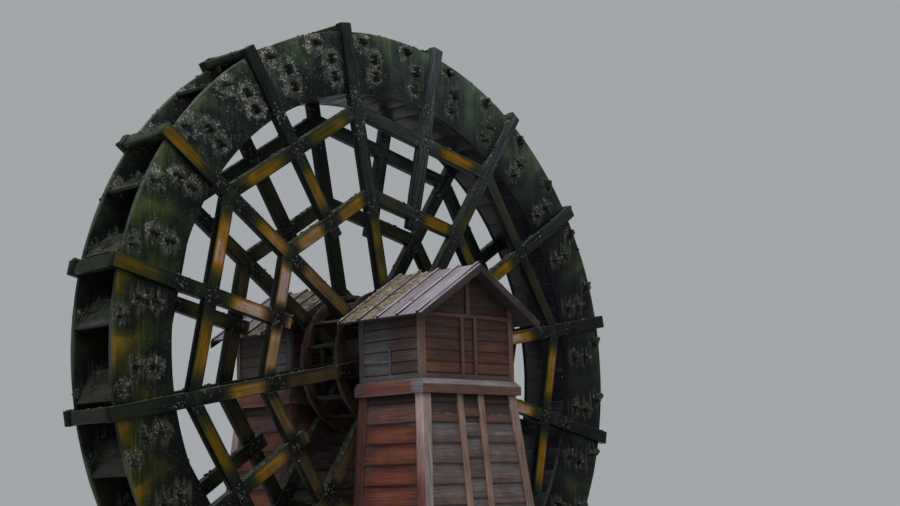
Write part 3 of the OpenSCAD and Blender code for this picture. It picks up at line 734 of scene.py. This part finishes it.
def end_house_finish(add, at, colour):
    """Darkens the open grain and gives the height and roughness of weathered softwood."""
    dull = add("MapRange", at.fine, 0.34, 0.66, 0.5, 1.3)
    height = weigh(add, 0.0, (at.fine, 2.2), (at.bands, 1.5))
    return add("VectorMath SCALE", colour, dull), add("MapRange", at.fine, 0.3, 0.7, 0.85, 0.6), height


print("house patterns: grain, bands, patch, luck, share")

# %% [markdown]
# ## Tower boards
# The side boards have kept a red orange heart that fades to grey at their upper edges and
# ends. On the outer wall each board shows two tones, grey above and brown below, with a thin
# bleached line between, and only the first row is maroon. Under the ledge a painted shadow
# makes all dark, and painted shade darkens the outer boards towards the ledge.

# %% Tower boards
LEDGE_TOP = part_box("rear_ledge")[1].z
TOWER_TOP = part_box("rear_ledge")[0].z
TOWER_IN, TOWER_OUT = (corner.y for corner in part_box("rear_ledge"))
TOWER_MIDDLE = (TOWER_IN + TOWER_OUT) / 2
TOWER_BOARD = 0.168
TOWER_BOARDS_FROM = TOWER_TOP + 0.58 * TOWER_BOARD
MIDDLE_BOARDS_FROM = TOWER_TOP + 0.87 * TOWER_BOARD


def tower_side(add, at, tone, share):
    """The red side boards, faded below the first row."""
    ends = add("MapRange", apart_from(add, at.out, [TOWER_MIDDLE + 0.02]), 0.14, 0.36)
    upper = add("MapRange", share, 0.35, 0.05)
    bottom = add("MapRange", share, 0.72, 0.95)
    down = add("MapRange", at.z, TOWER_TOP, TOWER_TOP - 0.35)
    red = weigh(add, tone, (ends, -0.5), (upper, -0.42), (bottom, -0.22), (down, 0.38))
    side = blend(add, add("Math ADD", red, 0.17), "#5c4f4d #513e3b #5a332c #6f3c2e #7f4c39",
                 (0.0, 0.18, 0.4, 0.65, 0.95))
    first = add("MapRange", at.z, TOWER_TOP - 0.25, TOWER_TOP - 0.235, 0.0, 0.72)
    return coats(add, side, (first, blend(add, tone, "#4f3a39 #70514f #866b69", (0.0, 0.5, 1.0))))


def tower_front(add, at, tone, share, wander):
    """The outer wall's boards, grey over brown, with a maroon first row, darkened towards the ledge by
    painted shade.
    """
    ragged = weigh(add, share, (wander, 0.12))
    lower = add("MapRange", ragged, 0.6, 0.66)
    above, below = (blend(add, tone, colours, (0.0, 0.3, 0.6, 0.95))
                    for colours in ("#433b3b #554d4d #675e5e #857b7a", "#3b302e #51413d #664f47 #80706a"))
    # Painted shade: the outer boards darken upwards towards the ledge
    painted_ledge_shade_gain = add("MapRange", at.z, TOWER_TOP - 0.25, TOWER_TOP - 0.75, 1.04, 1.36)
    front = add("VectorMath SCALE", coats(add, above, (lower, below)), painted_ledge_shade_gain)
    first = add("MapRange", at.z, TOWER_TOP - 0.245, TOWER_TOP - 0.235, 0.0, 0.85)
    line = product(add, add("MapRange", apart_from(add, ragged, [0.63]), 0.05, 0.01),
                   add("MapRange", wander, 0.5, 0.65, 0.0, 0.35))
    return coats(add, front, (first, coats(add, "#2d1b19", (lower, "#52342b"))), (line, "#857a75"))


def build_tower_boards(add):
    """Side and outer boards, with a painted shadow under the ledge and a painted lap shadow at each board's
    foot.
    """
    at = patterns(add, "level", TOWER_BOARD, TOWER_BOARDS_FROM)
    middle = patterns(add, "level", TOWER_BOARD, MIDDLE_BOARDS_FROM)
    is_middle = product(add, add("Math LESS_THAN", add("Math ABSOLUTE", at.x), 0.11), at.face)
    share = add("Mix", is_middle, at.share, middle.share)
    luck = add("Mix", is_middle, at.luck, middle.luck)
    wander = add("TexNoise", at.place, per_metre(110), 4.0)
    tone = weigh(add, -0.68, (at.patch, 0.7), (at.bands, 0.5), (luck, 0.2), (wander, 0.5))
    shadow = add("MapRange", at.z, TOWER_TOP - 0.13, TOWER_TOP - 0.04, 0.0, 0.9)
    # Painted lap shadow: a dark line at each board's foot
    painted_lap_shadow = add("MapRange", share, 0.9, 0.965, 0.0, 0.88)
    front = tower_front(add, at, tone, share, wander)
    side = tower_side(add, at, tone, share)
    colour = coats(add, front, (at.side, side), (shadow, "#160d0c"), (painted_lap_shadow, "#1c1513"))
    return end_house_finish(add, at, colour)


tower_boards = finish("weathered_cedar_tower", build_tower_boards, specular=0.35)
print("finish:", tower_boards.name)

# %% [markdown]
# ## House walls, posts and trim
# The little houses are browner and darker than the towers, because the roof keeps rain and
# light off them. The side wall near the wheel is blue grey. Each timber group gets four
# colours from dark to light, and a board wall also gets a painted lap shadow at the foot of
# every board.

# %% Shades of walls and posts
def wall_shade(add, at, tone, colour):
    """The half of a side wall away from the wheel is brown, a painted lap shadow darkens each
    board's foot, and painted shade darkens all that stands close under the roof."""
    brown = product(add, add("MapRange", at.out, 0.75, 0.86), at.side)
    # Painted lap shadow at each board's foot
    painted_lap_shadow = add("MapRange", at.share, 0.82, 0.95, 0.0, 0.88)
    # Painted shade close under the roof, stronger on the side walls
    shade = product(add, add("MapRange", at.z, LEDGE_TOP + 0.25, LEDGE_TOP + 0.6, 0.0, 0.6),
                    add("MapRange", at.side, 0.0, 1.0, 1.0, 1.5))
    brown_side = blend(add, tone, "#2e2424 #4d3e3d #604c48 #786660")
    return coats(add, colour, (brown, brown_side), (painted_lap_shadow, "#120d0c"), (shade, "#120c0c"))


def post_shade(add, at, tone, colour):
    """Tower posts redden downwards on their sides, and are maroon next to the wheel."""
    red, warm, brown, maroon = (blend(add, tone, colours) for colours in (
        "#482d29 #73483f #8a574b #a57e74", "#4b3e3b #7d6c66 #94837c #b0a29b",
        "#46342e #6f564c #886c60 #a58e83", "#281510 #472623 #59342e #75554d"))
    low = product(add, add("MapRange", at.z, LEDGE_TOP - 0.35, LEDGE_TOP - 0.85), at.side)
    upper = product(add, add("MapRange", at.z, TOWER_TOP - 0.55, TOWER_TOP - 0.2), at.face)
    by_right = product(add, add("MapRange", at.x, 0.38, 0.42, 0.0, 0.75),
                       add("MapRange", at.right, 0.5, 0.7, 1.0, 0.0))
    browned = add("Math MAXIMUM", add("Math LESS_THAN", add("Math ABSOLUTE", at.x), 0.38), by_right)
    colour = coats(add, colour, (low, red), (upper, warm), (browned, brown))
    colour = add("VectorMath SCALE", colour, add("MapRange", by_right, 0.0, 0.75, 1.0, 0.8))
    return coats(add, colour, (add("MapRange", at.out, TOWER_MIDDLE, TOWER_MIDDLE - 0.1), maroon))


def frame_shade(add, at, tone, colour):
    """The house's posts by the wheel are blue grey, as the wall between them is."""
    by_wheel = add("MapRange", at.out, TOWER_IN + 0.16, TOWER_IN + 0.12)
    return coats(add, colour, (by_wheel, blend(add, tone, "#2c292c #474449 #59555b #757178")))


# %% House walls, posts and trim
HOUSE_BOARD = 0.095
HOUSE_BOARDS_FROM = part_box("rear_end_walls")[1].z + 0.57 * HOUSE_BOARD


def house_timber(name, run, colours, sides, more=None, boards=()):
    """A house finish in four colours, with other colours for faces that look sideways. more
    may change the colour by the patterns, and boards are the lapped boards' pitch and top."""
    def build(add):
        at = patterns(add, run, *boards)
        tone = weigh(add, -0.62, (at.patch, 0.9), (at.bands, 0.9), (at.luck, 0.3))
        colour = coats(add, blend(add, tone, colours), (at.side, blend(add, tone, sides)))
        return end_house_finish(add, at, more(add, at, tone, colour) if more else colour)
    return finish(name, build, specular=0.35)


wall_boards = house_timber("weathered_cedar_walls", "level", "#2a1b19 #43291f #593624 #6f5240",
                           "#3b373c #5b565b #716b70 #8b858b", wall_shade, (HOUSE_BOARD, HOUSE_BOARDS_FROM))
post_wood = house_timber("weathered_larch_posts", "upright", "#423938 #6f6664 #8a807e #aba3a1",
                         "#7b6460 #ad9590 #c4aca6 #d8cbc6", post_shade)
frame_wood = house_timber("stained_larch_posts", "upright", "#33231c #563e33 #6d5142 #8a7564",
                          "#443835 #675854 #7b6c68 #988a86", frame_shade)
batten_wood = house_timber("stained_larch_battens", "upright", "#2b1c18 #432e27 #563e34 #735c50",
                           "#24160f #40281b #553725 #6f5b4c")
rail_wood = house_timber("stained_larch_rails", "level", "#24191a #40292a #553832 #6d5349",
                         "#363236 #544f53 #6a6569 #87828a")
print("house finishes:", len([m for m in bpy.data.materials if "larch" in m.name or "cedar" in m.name]))

# %% [markdown]
# ## Ledge beams
# The outer beam's sloping top is bleached grey and its upright face still brown. The side
# beams have kept a red stain, with pale edges. The outer beam's end grain shows grey on the
# side, and the end by the wheel is dull and damp.

# %% Ledge beams
def build_ledge(add):
    """Larch beams, bleached on their slopes and outer ends."""
    at = patterns(add, "level")
    tone = weigh(add, -0.5, (at.patch, 0.8), (at.bands, 0.9))
    face, red, pale = (blend(add, tone, colours) for colours in (
        "#35261f #573b34 #6b463e #8d7268", "#4a2523 #6d3e39 #865149 #9f857c",
        "#544f54 #767176 #928d92 #adaaae"))
    edges = apart_from(add, at.z, [LEDGE_TOP, TOWER_TOP])
    edges = product(add, add("MapRange", edges, 0.016, 0.004, 0.0, 0.55), at.side)
    top = product(add, add("MapRange", at.up, 0.2, 0.5), add("MapRange", at.side, 0.0, 1.0, 1.0, 0.1))
    end = add("MapRange", weigh(add, at.out, (at.patch, 0.06)), TOWER_OUT - 0.12, TOWER_OUT - 0.09)
    bleached = add("Math MAXIMUM", top, product(add, end, at.side))
    damp = add("MapRange", weigh(add, at.out, (at.patch, -0.12)), TOWER_IN + 0.08, TOWER_IN)
    colour = coats(add, face, (at.side, red), (edges, "#857873"), (bleached, pale),
                   (product(add, damp, 0.8), "#4c423f"))
    return end_house_finish(add, at, colour)


ledge_wood = finish("weathered_larch_ledge", build_ledge, specular=0.35)
print("finish:", ledge_wood.name)

# %% [markdown]
# ## Roof boards with moss
# The roof boards are bleached to a purple grey. Towards the wheel they stay damp, so a golden
# moss grows there, with pale specks, and thins out towards the outer gable. The battens stay
# clear of it. A painted highlight makes their tops paler, and painted shade darkens the faces
# that do not look up.

# %% Roof boards with moss
ROOF_NEAR, ROOF_FAR = (corner.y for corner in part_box("rear_roof_left"))
ROOF_EDGE = 0.026
ROOF_BATTEN_W = 0.028
ROOF_BOARDS = 4
FIRST_BATTEN = ROOF_NEAR + ROOF_EDGE
ROOF_STEP = (ROOF_FAR - ROOF_NEAR - 2 * ROOF_EDGE - ROOF_BATTEN_W) / ROOF_BOARDS


def build_roof(add):
    """Bleached boards and battens, mossy towards the wheel."""
    at = patterns(add, "slope")
    steps = add("MapRange", at.out, FIRST_BATTEN, FIRST_BATTEN + ROOF_STEP, clamp=False)
    batten = add("Math LESS_THAN", add("Math FRACT", steps), ROOF_BATTEN_W / ROOF_STEP + 0.012)
    luck = add("TexWhiteNoise 1D", add("Math FLOOR", steps))
    bleached = add("MapRange", at.out, ROOF_NEAR + 0.5, ROOF_FAR)
    tone = weigh(add, -0.6, (at.bands, 0.9), (at.patch, 0.7), (luck, 0.25), (at.fine, 0.4), (bleached, 0.27))
    # Painted highlight: the battens' tops are paler
    painted_lit_tops = blend(add, tone, "#6a6069 #978e97 #beb6bd", (0.0, 0.5, 1.0))
    painted_top_light = product(add, batten, add("MapRange", at.up, 0.5, 0.75))
    # Painted shade: faces that do not look up, such as the battens' sides and the roof's underside
    painted_side_shade = add("MapRange", at.up, 0.35, 0.1)

    damp = add("MapRange", at.out, ROOF_NEAR + 0.95, ROOF_NEAR + 0.05)
    spots = add("TexNoise", at.place, per_metre(38), 5.0, 0.7)
    moss = weigh(add, 0.0, (damp, 0.5), (at.patch, 0.55), (spots, 0.5), (batten, -0.25))
    moss = product(add, add("MapRange", moss, 0.72, 0.86), add("MapRange", at.up, 0.2, 0.5))
    gold = blend(add, spots, "#50473b #7b6e5b #a3957c", (0.35, 0.5, 0.62))
    glint_and_moss_specks = add("MapRange", add("TexVoronoi", at.place, per_metre(21)), 0.2, 0.08)
    glint_and_moss_specks = product(add, glint_and_moss_specks, add("Math MAXIMUM", moss, at.luck), add("MapRange", spots, 0.48, 0.56))
    boards = blend(add, tone, "#453e44 #686069 #88808a #aba3ac")
    colour = coats(add, boards, (painted_top_light, painted_lit_tops), (painted_side_shade, "#2c2226"), (moss, gold), (glint_and_moss_specks, "#bdb792"))
    colour, rough, height = end_house_finish(add, at, colour)
    return colour, rough, weigh(add, height, (moss, 4.0), (glint_and_moss_specks, 3.0))


def build_barge(add):
    """Dark stained boards under the roof's ends."""
    at = patterns(add, "slope")
    tone = weigh(add, -0.5, (at.bands, 0.9), (at.patch, 0.7))
    colour = blend(add, tone, "#1a1112 #2f2120 #432f2c #5c4843", (0.0, 0.4, 0.7, 1.0))
    return end_house_finish(add, at, colour)


roof_wood = finish("weathered_cedar_roof", build_roof, specular=0.35)
barge_wood = finish("stained_larch_barges", build_barge, specular=0.35)
print("finishes:", roof_wood.name, barge_wood.name)

# %% [markdown]
# ## Dress the frame's own pieces
# Every node of the frame gets one of the finishes by its name, looked up in order.

# %% Give each node its finish
FINISH_BY_NAME = (
    ("spokes", spoke_oak), ("braces", brace_oak), ("rim_ties", tie_oak), ("rim", rim_oak),
    ("sole", sole_oak), ("bucket", bucket_oak), ("hoop", hoop_oak), ("hub_bars", hub_oak),
    ("nave", hub_oak), ("gudgeons", cast_iron), ("tower_walls", tower_boards),
    ("tower_posts", post_wood), ("ledge", ledge_wood), ("bearing", frame_wood),
    ("house_posts", frame_wood), ("end_walls", wall_boards), ("side_walls", wall_boards),
    ("axle_frame", frame_wood), ("battens", batten_wood), ("roof", roof_wood),
    ("barge", barge_wood), ("axle", hub_oak),
)
for node, shape in frame["nodes"].items():
    shape.data.materials.clear()
    shape.data.materials.append(next(material for word, material in FINISH_BY_NAME if word in node))
print("dressed", len(frame["nodes"]), "nodes")

# %% [markdown]
# ## Worn timber
# Sawn timber has crisp edges and flat faces only when it is new. Each timber of the frame is
# copied, its edges are rounded with a bevel, its faces are cut into shorter stretches, and a
# soft cloud pattern pushes them in and out by a few millimetres. The copy then stands for the
# node, rides on the node's body and keeps its place.

# %% Helpers for shaping
def activate(piece):
    """Selects one piece alone and makes it active."""
    bpy.ops.object.select_all(action="DESELECT")
    piece.select_set(True)
    bpy.context.view_layer.objects.active = piece


def modify(piece, kind, **settings):
    """Adds a modifier with its settings and applies it."""
    activate(piece)
    modifier = piece.modifiers.new(kind.lower(), kind)
    for key, value in settings.items():
        setattr(modifier, key, value)
    bpy.ops.object.modifier_apply(modifier=modifier.name)


def cut(piece, axis, places):
    """Cuts a piece's faces along planes across one axis, without parting them."""
    normal = [float(index == axis) for index in range(3)]
    activate(piece)
    bpy.ops.object.mode_set(mode="EDIT")
    for place in places:
        bpy.ops.mesh.select_all(action="SELECT")
        bpy.ops.mesh.bisect(plane_co=[place * part for part in normal], plane_no=normal)
    bpy.ops.object.mode_set(mode="OBJECT")


def slice_up(piece, step):
    """Cuts a piece's faces along level and upright planes, a step apart."""
    corners = np.array([v.co for v in piece.data.vertices])
    for axis in range(3):
        low, high = corners[:, axis].min(), corners[:, axis].max()
        count = int((high - low) / step)
        cut(piece, axis, [low + (index + 0.5) * (high - low) / count for index in range(count)])


# %% Wear one node
UNEVEN = bpy.data.textures.new("uneven_wood", "CLOUDS")
UNEVEN.noise_scale = 0.2
UNEVEN.noise_depth = 3


def worn(node, edge, step, push):
    """A worn copy of a node, which stands for it. All sizes are in metres."""
    piece = stand(node + "_worn", frame["nodes"][node].data.copy())
    activate(piece)
    bpy.ops.object.mode_set(mode="EDIT")
    bpy.ops.mesh.select_all(action="SELECT")
    bpy.ops.mesh.remove_doubles(threshold=0.0001)
    bpy.ops.mesh.dissolve_limited(angle_limit=math.radians(0.5))
    bpy.ops.object.mode_set(mode="OBJECT")
    modify(piece, "BEVEL", width=edge, segments=2, limit_method="ANGLE", angle_limit=math.radians(30),
           use_clamp_overlap=False)
    slice_up(piece, step)
    modify(piece, "DISPLACE", texture=UNEVEN, texture_coords="LOCAL", strength=push, mid_level=0.5)
    activate(piece)
    bpy.ops.object.shade_smooth_by_angle(angle=math.radians(35))
    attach(piece, frame["nodes"][node]["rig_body"])
    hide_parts(node)
    return piece


# %% [markdown]
# Each kind of timber is worn by its own amount: the ties, which are the wettest, the most, and
# the thin wall boards the least. What the houses hide stays as it is. Rails and side trim of
# the houses share a node with the upright battens, so their faces get a second finish.

# %% Wear every timber that shows
WEAR = (
    ("spokes", 0.006, 0.3, 0.008), ("braces", 0.006, 0.3, 0.008), ("rim_ties", 0.008, 0.12, 0.016),
    ("rim", 0.004, 0.3, 0.008), ("sole", 0.003, 0.3, 0.004), ("bucket", 0.004, 0.2, 0.01),
    ("hub_bars", 0.006, 0.3, 0.006), ("hub_hoop", 0.004, 0.2, 0.005), ("tower_posts", 0.004, 0.25, 0.006),
    ("tower_walls", 0.002, 0.2, 0.005), ("ledge", 0.004, 0.2, 0.005), ("house_posts", 0.003, 0.2, 0.003),
    ("end_walls", 0.0015, 0.2, 0.003), ("side_walls", 0.0015, 0.2, 0.003),
    ("wall_battens", 0.002, 0.2, 0.003), ("roof", 0.002, 0.12, 0.006), ("barge", 0.003, 0.2, 0.004),
)
FOOT_RAIL_TOP = 0.043
TOP_RAIL = (0.513, 0.547)
SIDE_TRIM_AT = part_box("rear_side_walls")[1].x - 0.03
shown = {}
for node, shape in frame["nodes"].items():
    wear = next((row[1:] for row in WEAR if row[0] in node), None)
    shown[node] = worn(node, *wear) if wear else shape
for end in ("front", "rear"):
    trim = shown[end + "_wall_battens"]
    trim.data.materials.append(rail_wood)
    cut(trim, 2, [LEDGE_TOP + up for up in (FOOT_RAIL_TOP, *TOP_RAIL)])
    for polygon in trim.data.polygons:
        up = polygon.center.z - LEDGE_TOP
        is_rail = up < FOOT_RAIL_TOP or TOP_RAIL[0] < up < TOP_RAIL[1]
        polygon.material_index = int(is_rail or abs(polygon.center.x) > SIDE_TRIM_AT)
print("triangles:", sum(len(p.vertices) - 2 for piece in shown.values() for p in piece.data.polygons))

# %% [markdown]
# ## Small things, modelled once and copied
# The wedges, crusts and moss are small and many. Each is modelled once, as a few variants,
# and then its corners and faces are kept as arrays. One function places any number of copies
# and joins them into one piece.

# %% Model the small things
def as_arrays(piece):
    """Takes a modelled piece apart into its corners and faces, and removes it."""
    corners = np.array([v.co for v in piece.data.vertices])
    faces = [tuple(p.vertices) for p in piece.data.polygons]
    bpy.data.objects.remove(piece)
    return corners, faces


def model_lump(seed):
    """A rough lump of radius 1: a ball of twenty faces with its corners pushed about."""
    bpy.ops.object.select_all(action="DESELECT")
    bpy.ops.mesh.primitive_ico_sphere_add(subdivisions=1, radius=1)
    bpy.ops.object.mode_set(mode="EDIT")
    bpy.ops.mesh.select_all(action="SELECT")
    bpy.ops.transform.vertex_random(offset=0.35, seed=seed)
    bpy.ops.object.mode_set(mode="OBJECT")
    return as_arrays(bpy.context.object)


def model_wedge(length, width, thickness):
    """A split wedge: a bar that thins towards its lower end, with rounded edges."""
    bpy.ops.object.select_all(action="DESELECT")
    bpy.ops.mesh.primitive_cube_add(size=1, scale=(width, thickness, length))
    piece = bpy.context.object
    bpy.ops.object.mode_set(mode="EDIT")
    bpy.ops.mesh.select_mode(type="FACE")
    bpy.ops.mesh.select_all(action="DESELECT")
    bpy.ops.object.mode_set(mode="OBJECT")
    for polygon in piece.data.polygons:
        polygon.select = polygon.normal.z < -0.5
    bpy.ops.object.mode_set(mode="EDIT")
    bpy.ops.transform.resize(value=(0.45, 0.7, 1))
    bpy.ops.mesh.select_all(action="SELECT")
    bpy.ops.mesh.subdivide(number_cuts=1)
    bpy.ops.object.mode_set(mode="OBJECT")
    modify(piece, "BEVEL", width=0.003, segments=1, limit_method="ANGLE", angle_limit=math.radians(40))
    modify(piece, "DISPLACE", texture=UNEVEN, texture_coords="LOCAL", strength=0.008, mid_level=0.5)
    return as_arrays(piece)


WEDGE_LONG = 0.135
WEDGE_WIDE = 0.024
WEDGE_THICK = 0.016
LUMPS = [model_lump(seed) for seed in range(6)]
WEDGES = [model_wedge(WEDGE_LONG * share, WEDGE_WIDE, WEDGE_THICK) for share in (0.8, 1.0, 1.15)]
print("small models:", len(LUMPS), "lumps and", len(WEDGES), "wedges")

# %% [markdown]
# ## Where small things sit
# A ray finds where a small thing sits: it starts in the air, runs towards the timber, and
# gives the point it meets and the way the surface faces there. Everything placed this way
# touches what carries it, seen from any side.

# %% Find surfaces and join copies
def surface_of(*words):
    """A search tree over the shown pieces of all nodes whose names hold one of the words."""
    corners, faces = [], []
    for node, piece in shown.items():
        if any(word in node for word in words):
            start = len(corners)
            corners.extend(v.co.copy() for v in piece.data.vertices)
            faces.extend([start + corner for corner in p.vertices] for p in piece.data.polygons)
    return BVHTree.FromPolygons(corners, faces)


def lump_at(place, normal, size, height):
    """The matrix of a lump that lies on a surface: its size across, and its height."""
    turn = normal.to_track_quat("Z", "X") @ Quaternion((0, 0, 1), random.uniform(0, 2 * math.pi))
    return Matrix.LocRotScale(place, turn, (size, size * random.uniform(0.6, 1), height))


def joined(name, models, places, material, body):
    """Joins a copy of a model at every place, in turn, into one piece."""
    corners, faces, start = [], [], 0
    for index, place in enumerate(places):
        points, sides = models[index % len(models)]
        corners.append(points @ np.array(place.to_3x3()).T + np.array(place.translation))
        faces.extend(tuple(start + corner for corner in side) for side in sides)
        start += len(points)
    mesh = bpy.data.meshes.new(name)
    mesh.from_pydata(np.concatenate(corners), [], faces)
    mesh.shade_smooth()
    mesh.materials.append(material)
    piece = stand(name, mesh)
    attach(piece, body)
    print(name, len(places), "copies,", len(faces), "faces")


def on_wheel(turn, tangent, radius, depth):
    """A place on the wheel: the turn from its first spoke, and how far along the tangent,
    from the hub and along the axle."""
    angle = turn + WHEEL_TURN
    return HUB + Vector((radius * math.sin(angle) + tangent * math.cos(angle), depth,
                         radius * math.cos(angle) - tangent * math.sin(angle)))


timber = surface_of("spokes", "braces", "rim", "bucket", "hoop", "bars")
print("surfaces are ready")

# %% [markdown]
# ## Wedges through the tenons
# The bucket boards pass through the rims as tenons, and a split wedge through each tenon
# holds the rims together. The wedges lie along the tangent, just outside the rim.

# %% Wedge every tenon
WEDGE_PROUD = 0.014
WEDGE_LEAN = math.radians(9)
WEDGE_SLIDE = 0.02
wedge_places = []
tenon_places = []
for part in range(2 * BAYS):
    for tenon in TENONS:
        for side in (-1, 1):
            turn = (part + 0.5) * BAY / 2
            place = on_wheel(turn, tenon.x, tenon.y, side * (RIM_OUT_Y + WEDGE_PROUD))
            tenon_places.append((turn, tenon, side))
            lean = random.gauss(0, WEDGE_LEAN)
            turn_about = Quaternion((0, 1, 0), turn + WHEEL_TURN + math.pi / 2 + lean)
            slide = turn_about @ Vector((0, 0, random.uniform(-WEDGE_SLIDE, WEDGE_SLIDE)))
            wedge_places.append(Matrix.LocRotScale(place + slide, turn_about, (1, 1, 1)))
joined("tenon_wedges", WEDGES, wedge_places, wedge_wood, "wheel")

# %% [markdown]
# ## Crusts on the wheel
# Wet dirt dries round every tenon and joint and leaves a lumpy grey crust. Rays that start
# beside the wheel and run towards it find the timber there, thickest close to the joint.

# %% Crusts round tenons and joints
BESIDE_WHEEL = 0.45
RAY_LONG = 0.3


def crusts(sites, spread, size, height):
    """Lumps round each site, which is a place outside the timber, a side, and a count."""
    found = []
    for place, side, count in sites:
        for _ in range(count):
            away = Vector((random.gauss(0, spread), 0, random.gauss(-0.2 * spread, spread)))
            hit, normal, _, _ = timber.ray_cast(place + away, Vector((0, -side, 0)), RAY_LONG)
            if hit:
                share = max(0.3, 1 - away.length / (3 * spread)) * random.uniform(0.5, 1.2)
                found.append(lump_at(hit, normal, size * share, height * share))
    return found


tenon_sites = [(on_wheel(turn, tenon.x, tenon.y, side * BESIDE_WHEEL), side, random.randint(5, 22))
               for turn, tenon, side in tenon_places]
joint_sites = [(on_wheel(spoke * BAY, 0, radius, side * BESIDE_WHEEL), side, random.randint(2, 9))
               for spoke in range(BAYS) for radius in (INNER_AT, OUTER_AT, RIM_IN) for side in (-1, 1)]
joined("tenon_crusts", LUMPS, crusts(tenon_sites, 0.042, 0.024, 0.014), dry_crust, "wheel")
joined("joint_crusts", LUMPS, crusts(joint_sites, 0.045, 0.013, 0.007), dry_crust, "wheel")

# %% [markdown]
# ## Moss on the wheel
# Moss settles on whatever faces up: rays that fall a short way from points all through the
# wheel find those faces, and a noise pattern gathers the moss into tufts.

# %% Moss on what faces up
MOSS_TRIES = 90000
MOSS_OUT_TO = 3.1
DROP = 0.22
moss_places = []
for _ in range(MOSS_TRIES):
    turn, radius = random.uniform(0, 2 * math.pi), MOSS_OUT_TO * math.sqrt(random.uniform(0.03, 1))
    start = on_wheel(turn, 0, radius, random.uniform(-0.33, 0.33))
    hit, normal, _, _ = timber.ray_cast(start, Vector((0, 0, -1)), DROP)
    if not hit or normal.z < 0.3:
        continue
    tuft = noise.noise(hit * 7) + 0.5 * noise.noise(hit * 19)
    if tuft > random.uniform(-0.05, 0.55):
        moss_places.append(lump_at(hit, normal, random.uniform(0.008, 0.026), random.uniform(0.005, 0.015)))
joined("timber_moss", LUMPS, moss_places, green_moss, "wheel")

# %% [markdown]
# ## Moss and crumbs on the roofs
# The near half of each roof stays damp, so the moss there is thick and thins out towards the
# outer gable.

# %% Moss on the roofs
ROOF_TRIES = 9000
ABOVE_RIDGE = 0.1
for end in ("front", "rear"):
    roof = surface_of(end + "_roof")
    low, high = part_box(end + "_roof_left")[0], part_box(end + "_roof_right")[1]
    places = []
    for _ in range(ROOF_TRIES):
        start = Vector((random.uniform(low.x, high.x), random.uniform(low.y, high.y), high.z + ABOVE_RIDGE))
        hit, normal, _, _ = roof.ray_cast(start, Vector((0, 0, -1)))
        if not hit or normal.z < 0.2:
            continue
        near = 1 - (abs(hit.y) - ROOF_NEAR) / (ROOF_FAR - ROOF_NEAR)
        tuft = 0.5 * noise.noise(hit * 6) + 0.6 * noise.noise(hit * 23) + 1.1 * near
        if tuft > random.uniform(0.65, 1.5):
            places.append(lump_at(hit, normal, random.uniform(0.006, 0.017), random.uniform(0.003, 0.008)))
    joined(end + "_roof_moss", LUMPS, places, gold_moss, "houses")
